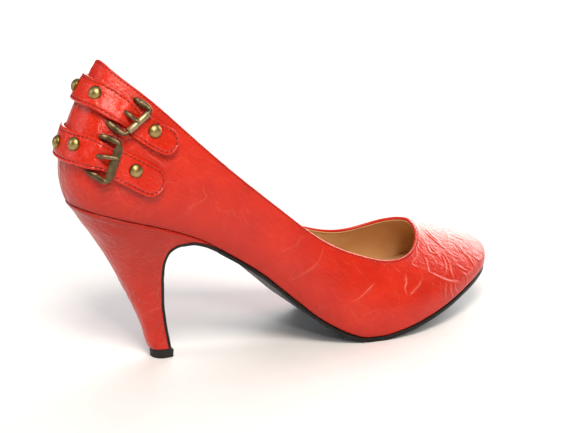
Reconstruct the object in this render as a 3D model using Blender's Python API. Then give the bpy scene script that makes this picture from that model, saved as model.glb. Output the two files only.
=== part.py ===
"""A high-heeled pump for the right foot, closed at toe and back, with two short buckled straps round its
high counter. It stands empty on its heel lift and the tread of its sole.

Metres, +Z up, floor at z = 0. The origin is the middle of the heel lift's lower face, +X runs towards the
toe and +Y towards the wearer's left, the inner side of the foot."""

import math

import bpy
import bmesh
import numpy as np
from mathutils import Matrix, Vector
from mathutils.bvhtree import BVHTree

# Driving sizes, from a size 37 last of 246 mm along its bottom
SOLE_LENGTH = 0.2170
SEAT_BACK = -0.0409
BALL_WIDTH = 0.0720
SEAT_HEIGHT = 0.0780
TOE_SPRING = 0.0197
COLLAR_HEIGHT = 0.1435

# Thicknesses and the gap at which curved pieces meet
WALL = 0.0016
SOLE_THICKNESS = 0.0021
SHANK_THICKNESS = 0.0017
FLAP_THICKNESS = 0.0014
INSOLE_THICKNESS = 0.0025
GAP = 0.0003

# Heel lift and straps
LIFT_LENGTH = 0.0088
LIFT_WIDTH = 0.0114
LIFT_HEIGHT = 0.0042
STRAP_THICKNESS = 0.0018

# Buckles, prongs and studs
FRAME_ROD = 0.0010
HINGE_ROD = 0.0006
ROLLER_RADIUS = 0.0013
ROLLER_BORE = 0.00090
END_BAR_ROD = 0.0005
PRONG_ROD = 0.0006
BUCKLE_REACH = 0.0074
STUD_RADIUS = 0.0031
STUD_HEIGHT = 0.0022

# How far the cutters reach past what they cut, and how far the lofts' ends stay inside the outline
CUTTER_REACH = 0.02
END_INSET = 0.0001

# Steps of the lofts
UPPER_STEPS_ROUND = 88
UPPER_STEPS_UP = 12
SOLE_STEPS = 42
INSOLE_STEPS = 56

# The sole's underside: along is a share of the sole's length from the back of the seat, rise a share of
# the seat height, spring a share of the toe spring
PROFILE = (
    # along, rise, spring
    (0.000, 1.000, 0.000),
    (0.081, 0.928, 0.000),
    (0.161, 0.855, 0.000),
    (0.242, 0.757, 0.000),
    (0.312, 0.630, 0.000),
    (0.383, 0.484, 0.000),
    (0.453, 0.302, 0.000),
    (0.514, 0.146, 0.000),
    (0.559, 0.062, 0.000),
    (0.585, 0.025, 0.000),
    (0.617, 0.000, 0.000),
    (0.650, 0.000, 0.000),
    (0.685, 0.000, 0.058),
    (0.719, 0.000, 0.140),
    (0.760, 0.000, 0.261),
    (0.826, 0.000, 0.462),
    (0.906, 0.000, 0.716),
    (1.007, 0.000, 1.000),
)

# The upper's ribs from the feather line to the topline, at both sides: along as above, outer and inner
# are half widths as shares of the ball width, the heights shares of the collar height, the two handles
# are shares of the rib's length, flare and lean the degrees by which it leaves its two ends
RIBS = (
    # along, outer, inner, top along, top outer, top inner, height, inner height, handle, flare, top handle, lean
    (0.000, 0.000, 0.000, 0.083, 0.000, 0.000, 0.994, 0.994, 0.33, 20, 0.36, 34),
    (0.013, 0.153, 0.153, 0.087, 0.083, 0.083, 0.985, 0.985, 0.33, 20, 0.36, 31),
    (0.048, 0.244, 0.244, 0.106, 0.156, 0.156, 0.954, 0.954, 0.33, 18, 0.36, 24),
    (0.118, 0.306, 0.303, 0.154, 0.239, 0.239, 0.887, 0.887, 0.32, 14, 0.35, 14),
    (0.214, 0.317, 0.299, 0.233, 0.297, 0.294, 0.766, 0.766, 0.32, 11, 0.33, 9),
    (0.329, 0.311, 0.258, 0.334, 0.322, 0.317, 0.616, 0.616, 0.32, 12, 0.33, 7),
    (0.449, 0.347, 0.258, 0.440, 0.340, 0.336, 0.471, 0.471, 0.32, 12, 0.33, 8),
    (0.560, 0.431, 0.347, 0.541, 0.351, 0.349, 0.346, 0.341, 0.32, 12, 0.35, 16),
    (0.643, 0.486, 0.438, 0.620, 0.361, 0.358, 0.286, 0.283, 0.34, 12, 0.38, 26),
    (0.717, 0.508, 0.486, 0.685, 0.358, 0.353, 0.254, 0.261, 0.34, 12, 0.42, 38),
    (0.795, 0.479, 0.486, 0.741, 0.321, 0.315, 0.255, 0.271, 0.33, 12, 0.45, 48),
    (0.872, 0.394, 0.428, 0.779, 0.226, 0.228, 0.278, 0.295, 0.32, 14, 0.47, 55),
    (0.934, 0.289, 0.333, 0.801, 0.124, 0.130, 0.298, 0.311, 0.31, 18, 0.48, 58),
    (0.978, 0.161, 0.225, 0.811, 0.030, 0.060, 0.308, 0.315, 0.30, 21, 0.48, 60),
    (1.000, -0.047, 0.047, 0.814, -0.026, 0.026, 0.311, 0.311, 0.30, 22, 0.48, 60),
)

# The heel block: back line as shares of the seat height, length and width as shares of the seat's own,
# tilt the share of the seat's slope that the level keeps
HEEL_LEVELS = (
    # back x, back z, length, width, tilt
    (-0.524, 1.067, 1.000, 1.000, 1.00),
    (-0.524, 1.028, 1.000, 1.000, 1.00),
    (-0.485, 0.967, 0.950, 0.955, 1.00),
    (-0.441, 0.890, 0.880, 0.880, 0.95),
    (-0.386, 0.808, 0.790, 0.780, 0.90),
    (-0.331, 0.710, 0.690, 0.660, 0.80),
    (-0.277, 0.608, 0.585, 0.540, 0.70),
    (-0.222, 0.487, 0.470, 0.430, 0.55),
    (-0.167, 0.362, 0.360, 0.345, 0.40),
    (-0.128, 0.262, 0.300, 0.295, 0.25),
    (-0.106, 0.196, 0.270, 0.275, 0.15),
    (-0.074, 0.071, 0.235, 0.258, 0.00),
    (-0.064, 0.058, 0.230, 0.255, 0.00),
)

# The outer face of the sole's tail down the heel breast, from the shank to the lift
BREAST = (
    # x, z as shares of the seat height
    (0.282, 0.672),
    (0.240, 0.701),
    (0.190, 0.728),
    (0.115, 0.750),
    (0.051, 0.748),
    (0.010, 0.726),
    (-0.008, 0.692),
    (-0.017, 0.628),
    (-0.014, 0.551),
    (-0.004, 0.449),
    (0.003, 0.346),
    (0.012, 0.282),
    (0.021, 0.218),
    (0.032, 0.154),
    (0.044, 0.083),
    (0.049, 0.058),
)

# The straps' centre lines over the counter, the same at both sides: along and height as above
UPPER_STRAP_LINE = (
    # along, height
    (0.030, 0.916),
    (0.057, 0.902),
    (0.089, 0.867),
    (0.124, 0.816),
    (0.162, 0.770),
    (0.205, 0.732),
    (0.250, 0.700),
)
LOWER_STRAP_LINE = (
    # along, height
    (-0.016, 0.752),
    (0.018, 0.745),
    (0.050, 0.724),
    (0.085, 0.693),
    (0.124, 0.656),
    (0.166, 0.616),
    (0.210, 0.575),
)

# The straps and their fittings. Distances are in mm along the strap from the middle of the back,
# positive at the outer side, where each strap carries its buckle. Skew is how far the top end of the end
# bar stands ahead of its middle, tips are how far the lower and upper arm run on past the hinge bar, and
# each stud has its distance along the strap and its height over the strap's middle.
STRAPS = {
    # name: line, width, inner end, outer end, end bar, skew, tips, studs
    "upper_strap": (
        UPPER_STRAP_LINE, 12.4, -46.0, 53.5, 30.4, 1.3, (2.0, 3.2),
        ((-40.0, 0.0), (-5.0, 0.0), (10.0, 0.5), (40.0, 1.3)),
    ),
    "lower_strap": (
        LOWER_STRAP_LINE, 13.6, -46.0, 53.5, 27.6, -0.3, (4.6, 1.4),
        ((-40.0, 0.0), (-2.2, -0.4), (11.0, 1.7), (39.2, 1.4)),
    ),
}

COLOURS = {
    # name: red, green, blue, metallic, roughness
    "red leather": (0.72, 0.035, 0.018, 0.0, 0.28),
    "black sole leather": (0.02, 0.02, 0.02, 0.0, 0.45),
    "black rubber": (0.025, 0.025, 0.025, 0.0, 0.6),
    "tan lining": (0.52, 0.28, 0.12, 0.0, 0.6),
    "antique bronze": (0.20, 0.15, 0.08, 1.0, 0.35),
    "antique brass": (0.45, 0.33, 0.12, 1.0, 0.3),
}


def monotone(xs, ys, at):
    """A smooth curve through the points that never overshoots them."""
    xs, ys, at = (np.asarray(v, float) for v in (xs, ys, at))
    step = np.diff(xs)
    slope = np.diff(ys) / step
    bend = np.zeros_like(xs)
    for i in range(1, len(xs) - 1):
        if slope[i - 1] * slope[i] > 0:
            before, after = 2 * step[i] + step[i - 1], step[i] + 2 * step[i - 1]
            bend[i] = (before + after) / (before / slope[i - 1] + after / slope[i])
    bend[0], bend[-1] = slope[0], slope[-1]
    k = np.clip(np.searchsorted(xs, at, side="right") - 1, 0, len(step) - 1)
    t = (at - xs[k]) / step[k]
    return (
        (1 + 2 * t) * (1 - t) ** 2 * ys[k]
        + t * (1 - t) ** 2 * step[k] * bend[k]
        + t * t * (3 - 2 * t) * ys[k + 1]
        + t * t * (t - 1) * step[k] * bend[k + 1]
    )


def smooth(t):
    t = np.clip(t, 0, 1)
    return t * t * (3 - 2 * t)


def underside(x):
    """The height of the sole's underside, or of the heel seat less a sole's thickness."""
    along, rise, spring = np.array(PROFILE).T
    at = (np.asarray(x, float) - SEAT_BACK) / SOLE_LENGTH
    return SEAT_HEIGHT * monotone(along, rise, at) + TOE_SPRING * monotone(along, spring, at)


def spline_bends(knots, values, period):
    """The second derivatives of the periodic cubic spline through the rows of values."""
    count = len(knots)
    step = np.diff(np.append(knots, knots[0] + period))
    matrix = np.zeros((count, count))
    right = np.zeros((count, values.shape[1]))
    for i in range(count):
        before, after = (i - 1) % count, (i + 1) % count
        matrix[i, before] += step[before]
        matrix[i, i] += 2 * (step[before] + step[i])
        matrix[i, after] += step[i]
        right[i] = 6 * (values[after] - values[i]) / step[i] - 6 * (values[i] - values[before]) / step[before]
    return np.linalg.solve(matrix, right)


def closed_spline(knots, values, bend, at, period):
    """Rows of the periodic cubic spline at the given places."""
    step = np.diff(np.append(knots, knots[0] + period))
    at = np.mod(np.asarray(at, float) - knots[0], period) + knots[0]
    k = np.searchsorted(knots, at, side="right") - 1
    after = (k + 1) % len(knots)
    t, h = (at - knots[k])[:, None], step[k][:, None]
    lift = (values[after] - values[k]) / h - h * (2 * bend[k] + bend[after]) / 6
    return values[k] + t * lift + t * t * bend[k] / 2 + t**3 * (bend[after] - bend[k]) / (6 * h)


def rib_loop():
    """The rib table as one closed loop: 0 the back, 1 the toe, the outer side first."""
    table = np.array(RIBS, float)
    x = table[:, 0] * SOLE_LENGTH
    half = (table[:, 1] + table[:, 2]) / 2 * BALL_WIDTH
    run = np.concatenate([[0], np.cumsum(np.hypot(np.diff(x), np.diff(half)))])
    run /= run[-1]

    def side(sign, foot, top, height):
        return np.column_stack(
            [
                SEAT_BACK + table[:, 0] * SOLE_LENGTH,
                sign * table[:, foot] * BALL_WIDTH,
                SEAT_BACK + table[:, 3] * SOLE_LENGTH,
                sign * table[:, top] * BALL_WIDTH,
                table[:, height] * COLLAR_HEIGHT,
                table[:, 8],
                np.radians(table[:, 9]),
                table[:, 10],
                np.radians(table[:, 11]),
            ]
        )

    outer, inner = side(-1, 1, 4, 6), side(1, 2, 5, 7)
    knots = np.concatenate([run, 2 - run[-2:0:-1]])
    values = np.vstack([outer[:-1], inner[-1:], inner[-2:0:-1]])
    return knots, values, spline_bends(knots, values, 2.0)


LOOP = rib_loop()


def rib_points(s):
    """The four points of the rib at each place s round the loop."""
    s = np.atleast_1d(np.asarray(s, float))
    row = closed_spline(*LOOP, s, 2.0)
    turn = closed_spline(*LOOP, s + 1e-4, 2.0) - closed_spline(*LOOP, s - 1e-4, 2.0)

    def outward(dx, dy):
        flat = np.column_stack([dy, -dx, np.zeros(len(dx))])
        return flat / np.linalg.norm(flat, axis=1)[:, None]

    foot_out, top_out = outward(turn[:, 0], turn[:, 1]), outward(turn[:, 2], turn[:, 3])
    foot = np.column_stack([row[:, 0], row[:, 1], underside(row[:, 0]) + SOLE_THICKNESS + GAP])
    top = row[:, 2:5]
    length = np.linalg.norm(top - foot, axis=1)[:, None]
    up = np.array([0.0, 0.0, 1.0])
    low = foot + length * row[:, 5:6] * (np.cos(row[:, 6:7]) * up + np.sin(row[:, 6:7]) * foot_out)
    high = top + length * row[:, 7:8] * (np.sin(row[:, 8:9]) * top_out - np.cos(row[:, 8:9]) * up)
    return foot, low, high, top


def on_upper(s, t):
    """Points of the upper's outer face: s round the loop, t from the feather line to the topline."""
    foot, low, high, top = rib_points(s)
    t = np.broadcast_to(np.asarray(t, float), (len(foot),))[:, None]
    return (1 - t) ** 3 * foot + 3 * t * (1 - t) ** 2 * low + 3 * t * t * (1 - t) * high + t**3 * top


def slopes(s, t):
    """The outer face's two slopes at each place and its outward normal."""
    step = 1e-4
    t = np.broadcast_to(np.asarray(t, float), np.shape(np.atleast_1d(s)))
    round_it = (on_upper(s + step, t) - on_upper(s - step, t)) / (2 * step)
    up_it = (on_upper(s, t + step) - on_upper(s, t - step)) / (2 * step)
    normal = np.cross(round_it, up_it)
    return round_it, up_it, normal / np.linalg.norm(normal, axis=1)[:, None]


def material(name):
    red, green, blue, metallic, roughness = COLOURS[name]
    made = bpy.data.materials.new(name)
    made.use_nodes = True
    shader = made.node_tree.nodes["Principled BSDF"]
    shader.inputs["Base Color"].default_value = (red, green, blue, 1.0)
    shader.inputs["Metallic"].default_value = metallic
    shader.inputs["Roughness"].default_value = roughness
    made.diffuse_color = (red, green, blue, 1.0)
    return made


def mesh_object(name, points, faces, finish, collection):
    mesh = bpy.data.meshes.new(name)
    mesh.from_pydata([tuple(p) for p in points], [], faces)
    work = bmesh.new()
    work.from_mesh(mesh)
    bmesh.ops.remove_doubles(work, verts=work.verts, dist=1e-6)
    bmesh.ops.recalc_face_normals(work, faces=work.faces)
    work.to_mesh(mesh)
    work.free()
    if finish:
        mesh.materials.append(finish)
    made = bpy.data.objects.new(name, mesh)
    collection.objects.link(made)
    return made


def loft(name, rings, finish, collection, closed=False):
    """A solid through rings of the same number of points, capped at both ends unless it closes."""
    rings = [np.asarray(ring) for ring in rings]
    count, around = len(rings), len(rings[0])
    points = np.vstack(rings)
    faces = []
    for i in range(count if closed else count - 1):
        here, there = i * around, (i + 1) % count * around
        for j in range(around):
            k = (j + 1) % around
            faces.append((here + j, here + k, there + k, there + j))
    if not closed:
        faces.append(tuple(reversed(range(around))))
        faces.append(tuple((count - 1) * around + j for j in range(around)))
    return mesh_object(name, points, faces, finish, collection)


def prism(name, outline, half_width, collection):
    """A cutter: the outline in x and z, drawn out to both sides."""
    outline = np.asarray(outline)
    rings = []
    for side in (-half_width, half_width):
        rings.append(np.column_stack([outline[:, 0], np.full(len(outline), side), outline[:, 1]]))
    made = loft(name, rings, None, collection)
    made.hide_render = True
    made.display_type = "WIRE"
    return made


def boolean(target, operation, other):
    step = target.modifiers.new(operation.lower(), "BOOLEAN")
    step.operation = operation
    step.solver = "EXACT"
    step.object = other
    return step


def rod(name, points, radii, finish, collection, depth=0.001):
    """A round rod through the points, as a curve with a bevel, made a mesh."""
    curve = bpy.data.curves.new(name, "CURVE")
    curve.dimensions = "3D"
    curve.bevel_depth = depth
    curve.bevel_resolution = 2
    curve.use_fill_caps = True
    line = curve.splines.new("POLY")
    line.points.add(len(points) - 1)
    for place, point, radius in zip(line.points, points, radii):
        place.co = (*point, 1.0)
        place.radius = radius / depth
    holder = bpy.data.objects.new(name + " line", curve)
    collection.objects.link(holder)
    mesh = bpy.data.meshes.new_from_object(holder.evaluated_get(bpy.context.evaluated_depsgraph_get()))
    bpy.data.objects.remove(holder)
    work = bmesh.new()
    work.from_mesh(mesh)
    bmesh.ops.remove_doubles(work, verts=work.verts, dist=1e-6)
    bmesh.ops.recalc_face_normals(work, faces=work.faces)
    work.to_mesh(mesh)
    work.free()
    mesh.materials.clear()
    if finish:
        mesh.materials.append(finish)
    made = bpy.data.objects.new(name, mesh)
    collection.objects.link(made)
    return made


def turned(name, profile, steps, place, finish, collection):
    """A turned piece: the profile (radius, height) spun round its own Z and set at the place."""
    rings = []
    for i in range(steps):
        angle = 2 * math.pi * i / steps
        rings.append([(r * math.cos(angle), r * math.sin(angle), z) for r, z in profile])
    made = loft(name, rings, finish, collection, closed=True)
    made.matrix_world = place
    return made


def build_upper(collection, finish):
    """The one hollow piece, open at the collar and underneath."""
    s = np.arange(UPPER_STEPS_ROUND) * 2.0 / UPPER_STEPS_ROUND
    outside, inside = [], []
    for j in range(UPPER_STEPS_UP + 1):
        t = np.full(len(s), j / UPPER_STEPS_UP)
        points = on_upper(s, t)
        outside.append(points)
        inside.append(points - WALL * slopes(s, t)[2])
    return loft("upper", outside + inside[::-1], finish, collection, closed=True)


def sole_outline(inset):
    """The feather line moved inwards: the x of its two ends, and its two sides as (x, y) rows."""
    s = np.linspace(0.0, 2.0, 1201)[:-1]
    point = rib_points(s)[0][:, :2]
    ahead = rib_points(s + 1e-3)[0][:, :2] - rib_points(s - 1e-3)[0][:, :2]
    away = np.column_stack([ahead[:, 1], -ahead[:, 0]]) / np.linalg.norm(ahead, axis=1)[:, None]
    point = point - inset * away
    back, tip = point[:, 0].argmin(), point[:, 0].argmax()
    loop = np.roll(point, -back, axis=0)
    tip = (tip - back) % len(s)
    return loop[: tip + 1], np.vstack([loop[:1], loop[tip:][::-1]])


def across(sides, x):
    """The y of both sides at this x."""
    return [float(np.interp(x, side[:, 0], side[:, 1])) for side in sides]


def feather_at(x, sign):
    """The place on the loop whose feather point has this x, at the outer (-1) or inner (+1) side."""
    low, high = (0.0, 1.0) if sign < 0 else (1.0, 2.0)
    for _ in range(40):
        middle = (low + high) / 2
        beyond = rib_points(middle)[0][0][0] > x
        if beyond == (sign < 0):
            high = middle
        else:
            low = middle
    return (low + high) / 2


def breast_line(count):
    """The tail's outer face in side view, and its inner face, which meets the heel but for the gap."""
    table = np.array(BREAST) * SEAT_HEIGHT
    table[0, 1] = underside(table[0, 0])
    run = np.concatenate([[0], np.cumsum(np.hypot(*np.diff(table, axis=0).T))])
    at = np.linspace(0, run[-1], count)
    line = np.column_stack([monotone(run, table[:, 0], at), monotone(run, table[:, 1], at)])
    turn = np.gradient(line, axis=0)
    turn /= np.linalg.norm(turn, axis=1)[:, None]
    inward = np.column_stack([turn[:, 1], -turn[:, 0]])
    thick = FLAP_THICKNESS + (SHANK_THICKNESS - FLAP_THICKNESS) * (1 - smooth(4 * at / run[-1]))
    face = line + inward * thick[:, None]
    face[-1, 1] = line[-1, 1]
    return line, face, inward


def heel_loft(collection, finish):
    """The heel block before it is cut to the seat above and to the breast in front."""
    front = BREAST[0][0] * SEAT_HEIGHT
    start, end = feather_at(front, 1), feather_at(front, -1) + 2.0
    around = np.linspace(start, end, 45)
    seat = rib_points(around)[0]
    back_x, back_z = SEAT_BACK, underside(SEAT_BACK) + SOLE_THICKNESS + GAP
    rings = []
    for x, z, length, width, tilt in HEEL_LEVELS:
        ring = np.empty_like(seat)
        ring[:, 0] = x * SEAT_HEIGHT + (seat[:, 0] - back_x) * length
        ring[:, 1] = seat[:, 1] * width
        ring[:, 2] = z * SEAT_HEIGHT + (seat[:, 2] - back_z) * length * tilt
        rings.append(ring)
    return loft("heel", rings, finish, collection)


def build_heel(collection, cutters, finish):
    heel = heel_loft(collection, finish)
    x = np.linspace(SEAT_BACK - CUTTER_REACH, 2 * CUTTER_REACH, 31)
    top = np.column_stack([x, underside(x) + SOLE_THICKNESS])
    top = np.vstack([top, [(x[-1], COLLAR_HEIGHT), (x[0], COLLAR_HEIGHT)]])
    boolean(heel, "DIFFERENCE", prism("seat cutter", top, BALL_WIDTH, cutters))
    face, inward = breast_line(30)[1:]
    face = face + inward * GAP
    ahead, below = 3 * CUTTER_REACH, face[-1, 1] - CUTTER_REACH
    outline = np.vstack([face, [(face[-1, 0], below), (ahead, below), (ahead, face[0, 1] - SOLE_THICKNESS)]])
    boolean(heel, "DIFFERENCE", prism("breast cutter", outline, BALL_WIDTH, cutters))
    return heel


def build_sole(collection, finish, heel_block):
    """One piece of leather: tread, shank, and a tail that turns down the heel breast as far as the lift."""
    front = BREAST[0][0] * SEAT_HEIGHT
    sides = sole_outline(0.0)
    tip = sides[0][-1, 0] - END_INSET
    rings = []
    # closer steps towards the tip, and one at each end of the tread that lies flat
    share = np.linspace(0, 1, SOLE_STEPS + 1)
    steps = front + (tip - front) * (0.45 * share + 0.55 * np.sin(math.pi / 2 * share))
    flat = [SEAT_BACK + along * SOLE_LENGTH for along, rise, spring in PROFILE if rise == spring == 0]
    for x in sorted([*steps, *flat], reverse=True):
        left, right = across(sides, x)
        low = float(underside(x))
        high = low + SOLE_THICKNESS
        rings.append([(x, left, high), (x, right, high), (x, right, low), (x, left, low)])
    shape = BVHTree.FromPolygons(
        [tuple(v.co) for v in heel_block.data.vertices], [tuple(p.vertices) for p in heel_block.data.polygons]
    )
    line, face, _ = breast_line(30)
    for (x, z), (face_x, face_z) in list(zip(line, face))[1:]:
        found = []
        for sign in (-1, 1):
            hit = shape.ray_cast(Vector((face_x, sign * BALL_WIDTH, face_z)), Vector((0, -sign, 0)))[0]
            found.append(hit[1] if hit else sign * LIFT_WIDTH / 2)
        left, right = found
        rings.append([(face_x, left, face_z), (face_x, right, face_z), (x, right, z), (x, left, z)])
    return loft("outsole", rings, finish, collection)


def build_insole(collection, finish):
    """The insole on the heel seat and the sole, inside the upper's wall."""
    sides = sole_outline(WALL + 2 * GAP)
    back, tip = sides[0][0, 0] + END_INSET, sides[0][-1, 0] - END_INSET
    rings = []
    for k in range(INSOLE_STEPS + 1):
        share = k / INSOLE_STEPS
        x = back + (tip - back) * (0.5 * share + 0.25 - 0.25 * math.cos(math.pi * share))
        left, right = across(sides, x)
        low = float(underside(x)) + SOLE_THICKNESS + GAP
        high = low + INSOLE_THICKNESS
        rings.append([(x, left, high), (x, right, high), (x, right, low), (x, left, low)])
    return loft("insole", rings, finish, collection)


def build_lift(collection, finish):
    """The heel's top piece: round at the back, straight at the breast."""
    radius = LIFT_WIDTH / 2
    outline = [(LIFT_LENGTH / 2, -radius), (LIFT_LENGTH / 2, radius)]
    for i in range(17):
        angle = math.pi / 2 + math.pi * i / 16
        outline.append((radius - LIFT_LENGTH / 2 + radius * math.cos(angle), radius * math.sin(angle)))
    rings = []
    for z, grow in ((0.0, 1.0), (LIFT_HEIGHT, 1.06)):
        rings.append([(x * grow, y * grow, z) for x, y in outline])
    return loft("heel_lift", rings, finish, collection)


class Band:
    """A strap's centre line on the upper: distances along it run from the middle of the back."""

    def __init__(self, line):
        table = np.array(line)
        along, height = SEAT_BACK + table[:, 0] * SOLE_LENGTH, table[:, 1] * COLLAR_HEIGHT
        s = np.linspace(-0.42, 0.42, 421)
        low, high = np.zeros(len(s)), np.ones(len(s))
        for _ in range(40):
            middle = (low + high) / 2
            point = on_upper(s, middle)
            above = point[:, 2] > monotone(along, height, np.clip(point[:, 0], along[0], along[-1]))
            high = np.where(above, middle, high)
            low = np.where(above, low, middle)
        t = (low + high) / 2
        point = on_upper(s, t)
        run = np.concatenate([[0], np.cumsum(np.linalg.norm(np.diff(point, axis=0), axis=1))])
        self.run = run - np.interp(0.0, s, run)
        self.s, self.t = s, t

    def place(self, distance, across=0.0):
        """Point, along, across and outward directions on the upper, at a distance along and to the side."""
        s = np.array([np.interp(distance, self.run, self.s)])
        t = np.array([np.interp(distance, self.run, self.t)])
        ends = [np.interp(distance + d, self.run, self.s) for d in (-0.001, 0.001)]
        rise = [np.interp(distance + d, self.run, self.t) for d in (-0.001, 0.001)]
        ahead = on_upper(ends[1], rise[1])[0] - on_upper(ends[0], rise[0])[0]
        ahead /= np.linalg.norm(ahead)
        normal = slopes(s, t)[2][0]
        side = np.cross(normal, ahead)
        goal = on_upper(s, t)[0] + side * across
        for _ in range(4):
            round_it, up_it, normal = (v[0] for v in slopes(s, t))
            off = goal - on_upper(s, t)[0]
            step = np.linalg.lstsq(np.column_stack([round_it, up_it]), off, rcond=None)[0]
            s, t = s + step[0], t + step[1]
        return on_upper(s, t)[0], ahead, side, slopes(s, t)[2][0]


def strap_lift(distance, hinge):
    """How far the strap's lower face stands off the upper: it rises over the buckle's hinge bar."""
    bump = math.exp(-(((distance - hinge) / 0.0034) ** 2))
    return GAP + (2 * HINGE_ROD + 2.5 * GAP) * bump


def build_strap(name, band, half, start, end, hinge, finish, collection):
    chamfer = 0.0004
    count = round((end - start) / 0.0021)
    stops = [start + (end - start) * (0.5 - 0.5 * math.cos(math.pi * k / count)) for k in range(count + 1)]
    even = [start + (end - start) * k / count for k in range(count + 1)]
    stops = sorted(0.35 * a + 0.65 * b for a, b in zip(stops, even))
    rings = []
    for distance in stops:
        near = min(distance - start, end - distance)
        shy = max(0.0, 1 - near / half)
        width = max(0.0009, half * math.sqrt(max(0.0, 1 - shy * shy)))
        low = strap_lift(distance, hinge)
        ring = []
        for across, height in (
            (-width, low),
            (0.0, low),
            (width, low),
            (width, low + STRAP_THICKNESS - chamfer),
            (width - chamfer, low + STRAP_THICKNESS),
            (0.0, low + STRAP_THICKNESS),
            (chamfer - width, low + STRAP_THICKNESS),
            (-width, low + STRAP_THICKNESS - chamfer),
        ):
            point, _, _, out = band.place(distance, across)
            ring.append(point + out * height)
        rings.append(ring)
    return loft(name, rings, finish, collection)


def frame_at(origin, along, out):
    """The placing of a flat piece: X along the strap, Z out of it."""
    z = Vector(out).normalized()
    x = (Vector(along) - z * z.dot(Vector(along))).normalized()
    turn = Matrix((x, z.cross(x), z)).transposed().to_4x4()
    return Matrix.Translation(Vector(origin)) @ turn


def build_fittings(prefix, band, half, strap, end_bar, skew, tips, studs, finishes, collection, cutters):
    """The buckle, which follows the counter's curve, its roller and prong, and the strap's studs."""
    bronze, brass = finishes
    hinge = end_bar - BUCKLE_REACH
    wide = half + GAP + FRAME_ROD
    low = 2 * GAP + HINGE_ROD
    high = 3.5 * GAP + STRAP_THICKNESS + ROLLER_RADIUS

    def over(distance, across, height):
        point, _, _, out = band.place(distance, across)
        return Vector(point + out * height)

    arms, pin_ends = [], []
    for side, tip in zip((-1, 1), tips):
        bar, pin = end_bar + side * skew, hinge + side * skew
        pin_ends.append(over(pin, side * wide, low))
        arms.append(
            [
                over(pin - tip, side * (wide - 0.0002), low + 0.0002),
                over(pin - 0.5 * tip, side * (wide + 0.0002), low + 0.0005),
                over(pin, side * (wide + 0.0002), low + 0.0006),
                over(pin + 0.4 * BUCKLE_REACH, side * (wide + 0.0003), 0.6 * low + 0.4 * high),
                over(bar - 0.0014, side * (wide + 0.0003), high - 0.0002),
                over(bar - 0.0003, side * wide, high),
                over(bar, side * (wide - 0.0009), high),
            ]
        )
    radii = (0.0003, 0.0008, FRAME_ROD, FRAME_ROD, FRAME_ROD, 0.00095, END_BAR_ROD)
    frame = rod(prefix + "_buckle_frame", arms[0] + arms[1][::-1], radii + radii[::-1], bronze, collection)
    pin = rod(prefix + " hinge bar", pin_ends, (HINGE_ROD, HINGE_ROD), None, cutters)
    pin.hide_render = True
    pin.display_type = "WIRE"
    boolean(frame, "UNION", pin)

    ends = arms[0][-1], arms[1][-1]
    middle = (ends[0] + ends[1]) / 2
    out = band.place(end_bar)[3]
    seat = frame_at(middle, ends[1] - ends[0], out) @ Matrix.Rotation(math.pi / 2, 4, "Y")
    reach = (ends[1] - ends[0]).length / 2 - GAP
    profile = ((ROLLER_BORE, -reach), (ROLLER_RADIUS, -reach), (ROLLER_RADIUS, reach), (ROLLER_BORE, reach))
    turned(prefix + "_buckle_roller", profile, 14, seat, bronze, collection)

    top = 2.5 * GAP + STRAP_THICKNESS + 2 * HINGE_ROD
    prong = [
        over(hinge + 0.0014, 0.0, low + 0.0012),
        over(hinge + 0.0021, 0.0, top + 0.0006),
        over(hinge + 0.0032, 0.0, top + 0.0016),
        over(end_bar - 0.0022, 0.0, high + 0.0013),
        over(end_bar - 0.0004, 0.0, high + ROLLER_RADIUS + GAP + PRONG_ROD),
    ]
    radii = (0.0005, 0.00065, 0.0007, PRONG_ROD, 0.00045)
    rod(prefix + "_buckle_prong", prong, radii, bronze, collection)

    rings = []
    for height in (-0.001, 0.006):
        ring = []
        for ahead, across in ((0.0002, -0.0012), (0.0042, -0.0012), (0.0042, 0.0012), (0.0002, 0.0012)):
            ring.append(over(hinge + ahead, across, height))
        rings.append(ring)
    cutter = loft(prefix + " prong slot", rings, None, cutters)
    cutter.hide_render = True
    cutter.display_type = "WIRE"
    boolean(strap, "DIFFERENCE", cutter)

    dome = [(0.0, 0.0), (STUD_RADIUS, 0.0)]
    for i in range(1, 4):
        angle = math.pi / 2 * i / 4
        dome.append((STUD_RADIUS * math.cos(angle), STUD_HEIGHT * math.sin(angle)))
    dome.append((0.0, STUD_HEIGHT))
    for number, (distance, across) in enumerate(studs, 1):
        point, along, _, out = band.place(distance / 1000, across / 1000)
        distance /= 1000
        seat = point + out * (strap_lift(distance, hinge) + STRAP_THICKNESS + GAP)
        turned(f"{prefix}_stud_{number}", dome, 14, frame_at(seat, along, out), brass, collection)


def main():
    for old in list(bpy.data.objects):
        bpy.data.objects.remove(old)
    shoe = bpy.data.collections.new("high heeled pump")
    cutters = bpy.data.collections.new("cutters")
    for collection in (shoe, cutters):
        bpy.context.scene.collection.children.link(collection)

    red = material("red leather")
    heel = build_heel(shoe, cutters, material("red leather"))
    build_sole(shoe, material("black sole leather"), heel)
    build_lift(shoe, material("black rubber"))
    build_upper(shoe, red)
    build_insole(shoe, material("tan lining"))
    for name, (line, width, start, end, bar, skew, tips, studs) in STRAPS.items():
        band = Band(line)
        half, start, end, bar, skew = (size / 1000 for size in (width / 2, start, end, bar, skew))
        tips = [tip / 1000 for tip in tips]
        hinge = bar - BUCKLE_REACH
        strap = build_strap(name, band, half, start, end, hinge, material("red leather"), shoe)
        finishes = (material("antique bronze"), material("antique brass"))
        prefix = name.replace("_strap", "")
        build_fittings(prefix, band, half, strap, bar, skew, tips, studs, finishes, shoe, cutters)


main()
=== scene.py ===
"""A red high-heeled pump, right foot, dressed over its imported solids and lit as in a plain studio.

Metres, floor at z = 0, the origin in the middle of the heel lift's lower face, +X to the toe and +Y to
the wearer's left. Coated crinkled leather outside, tan leather inside, black edges, antiqued buckles and
studs."""

import math

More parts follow.
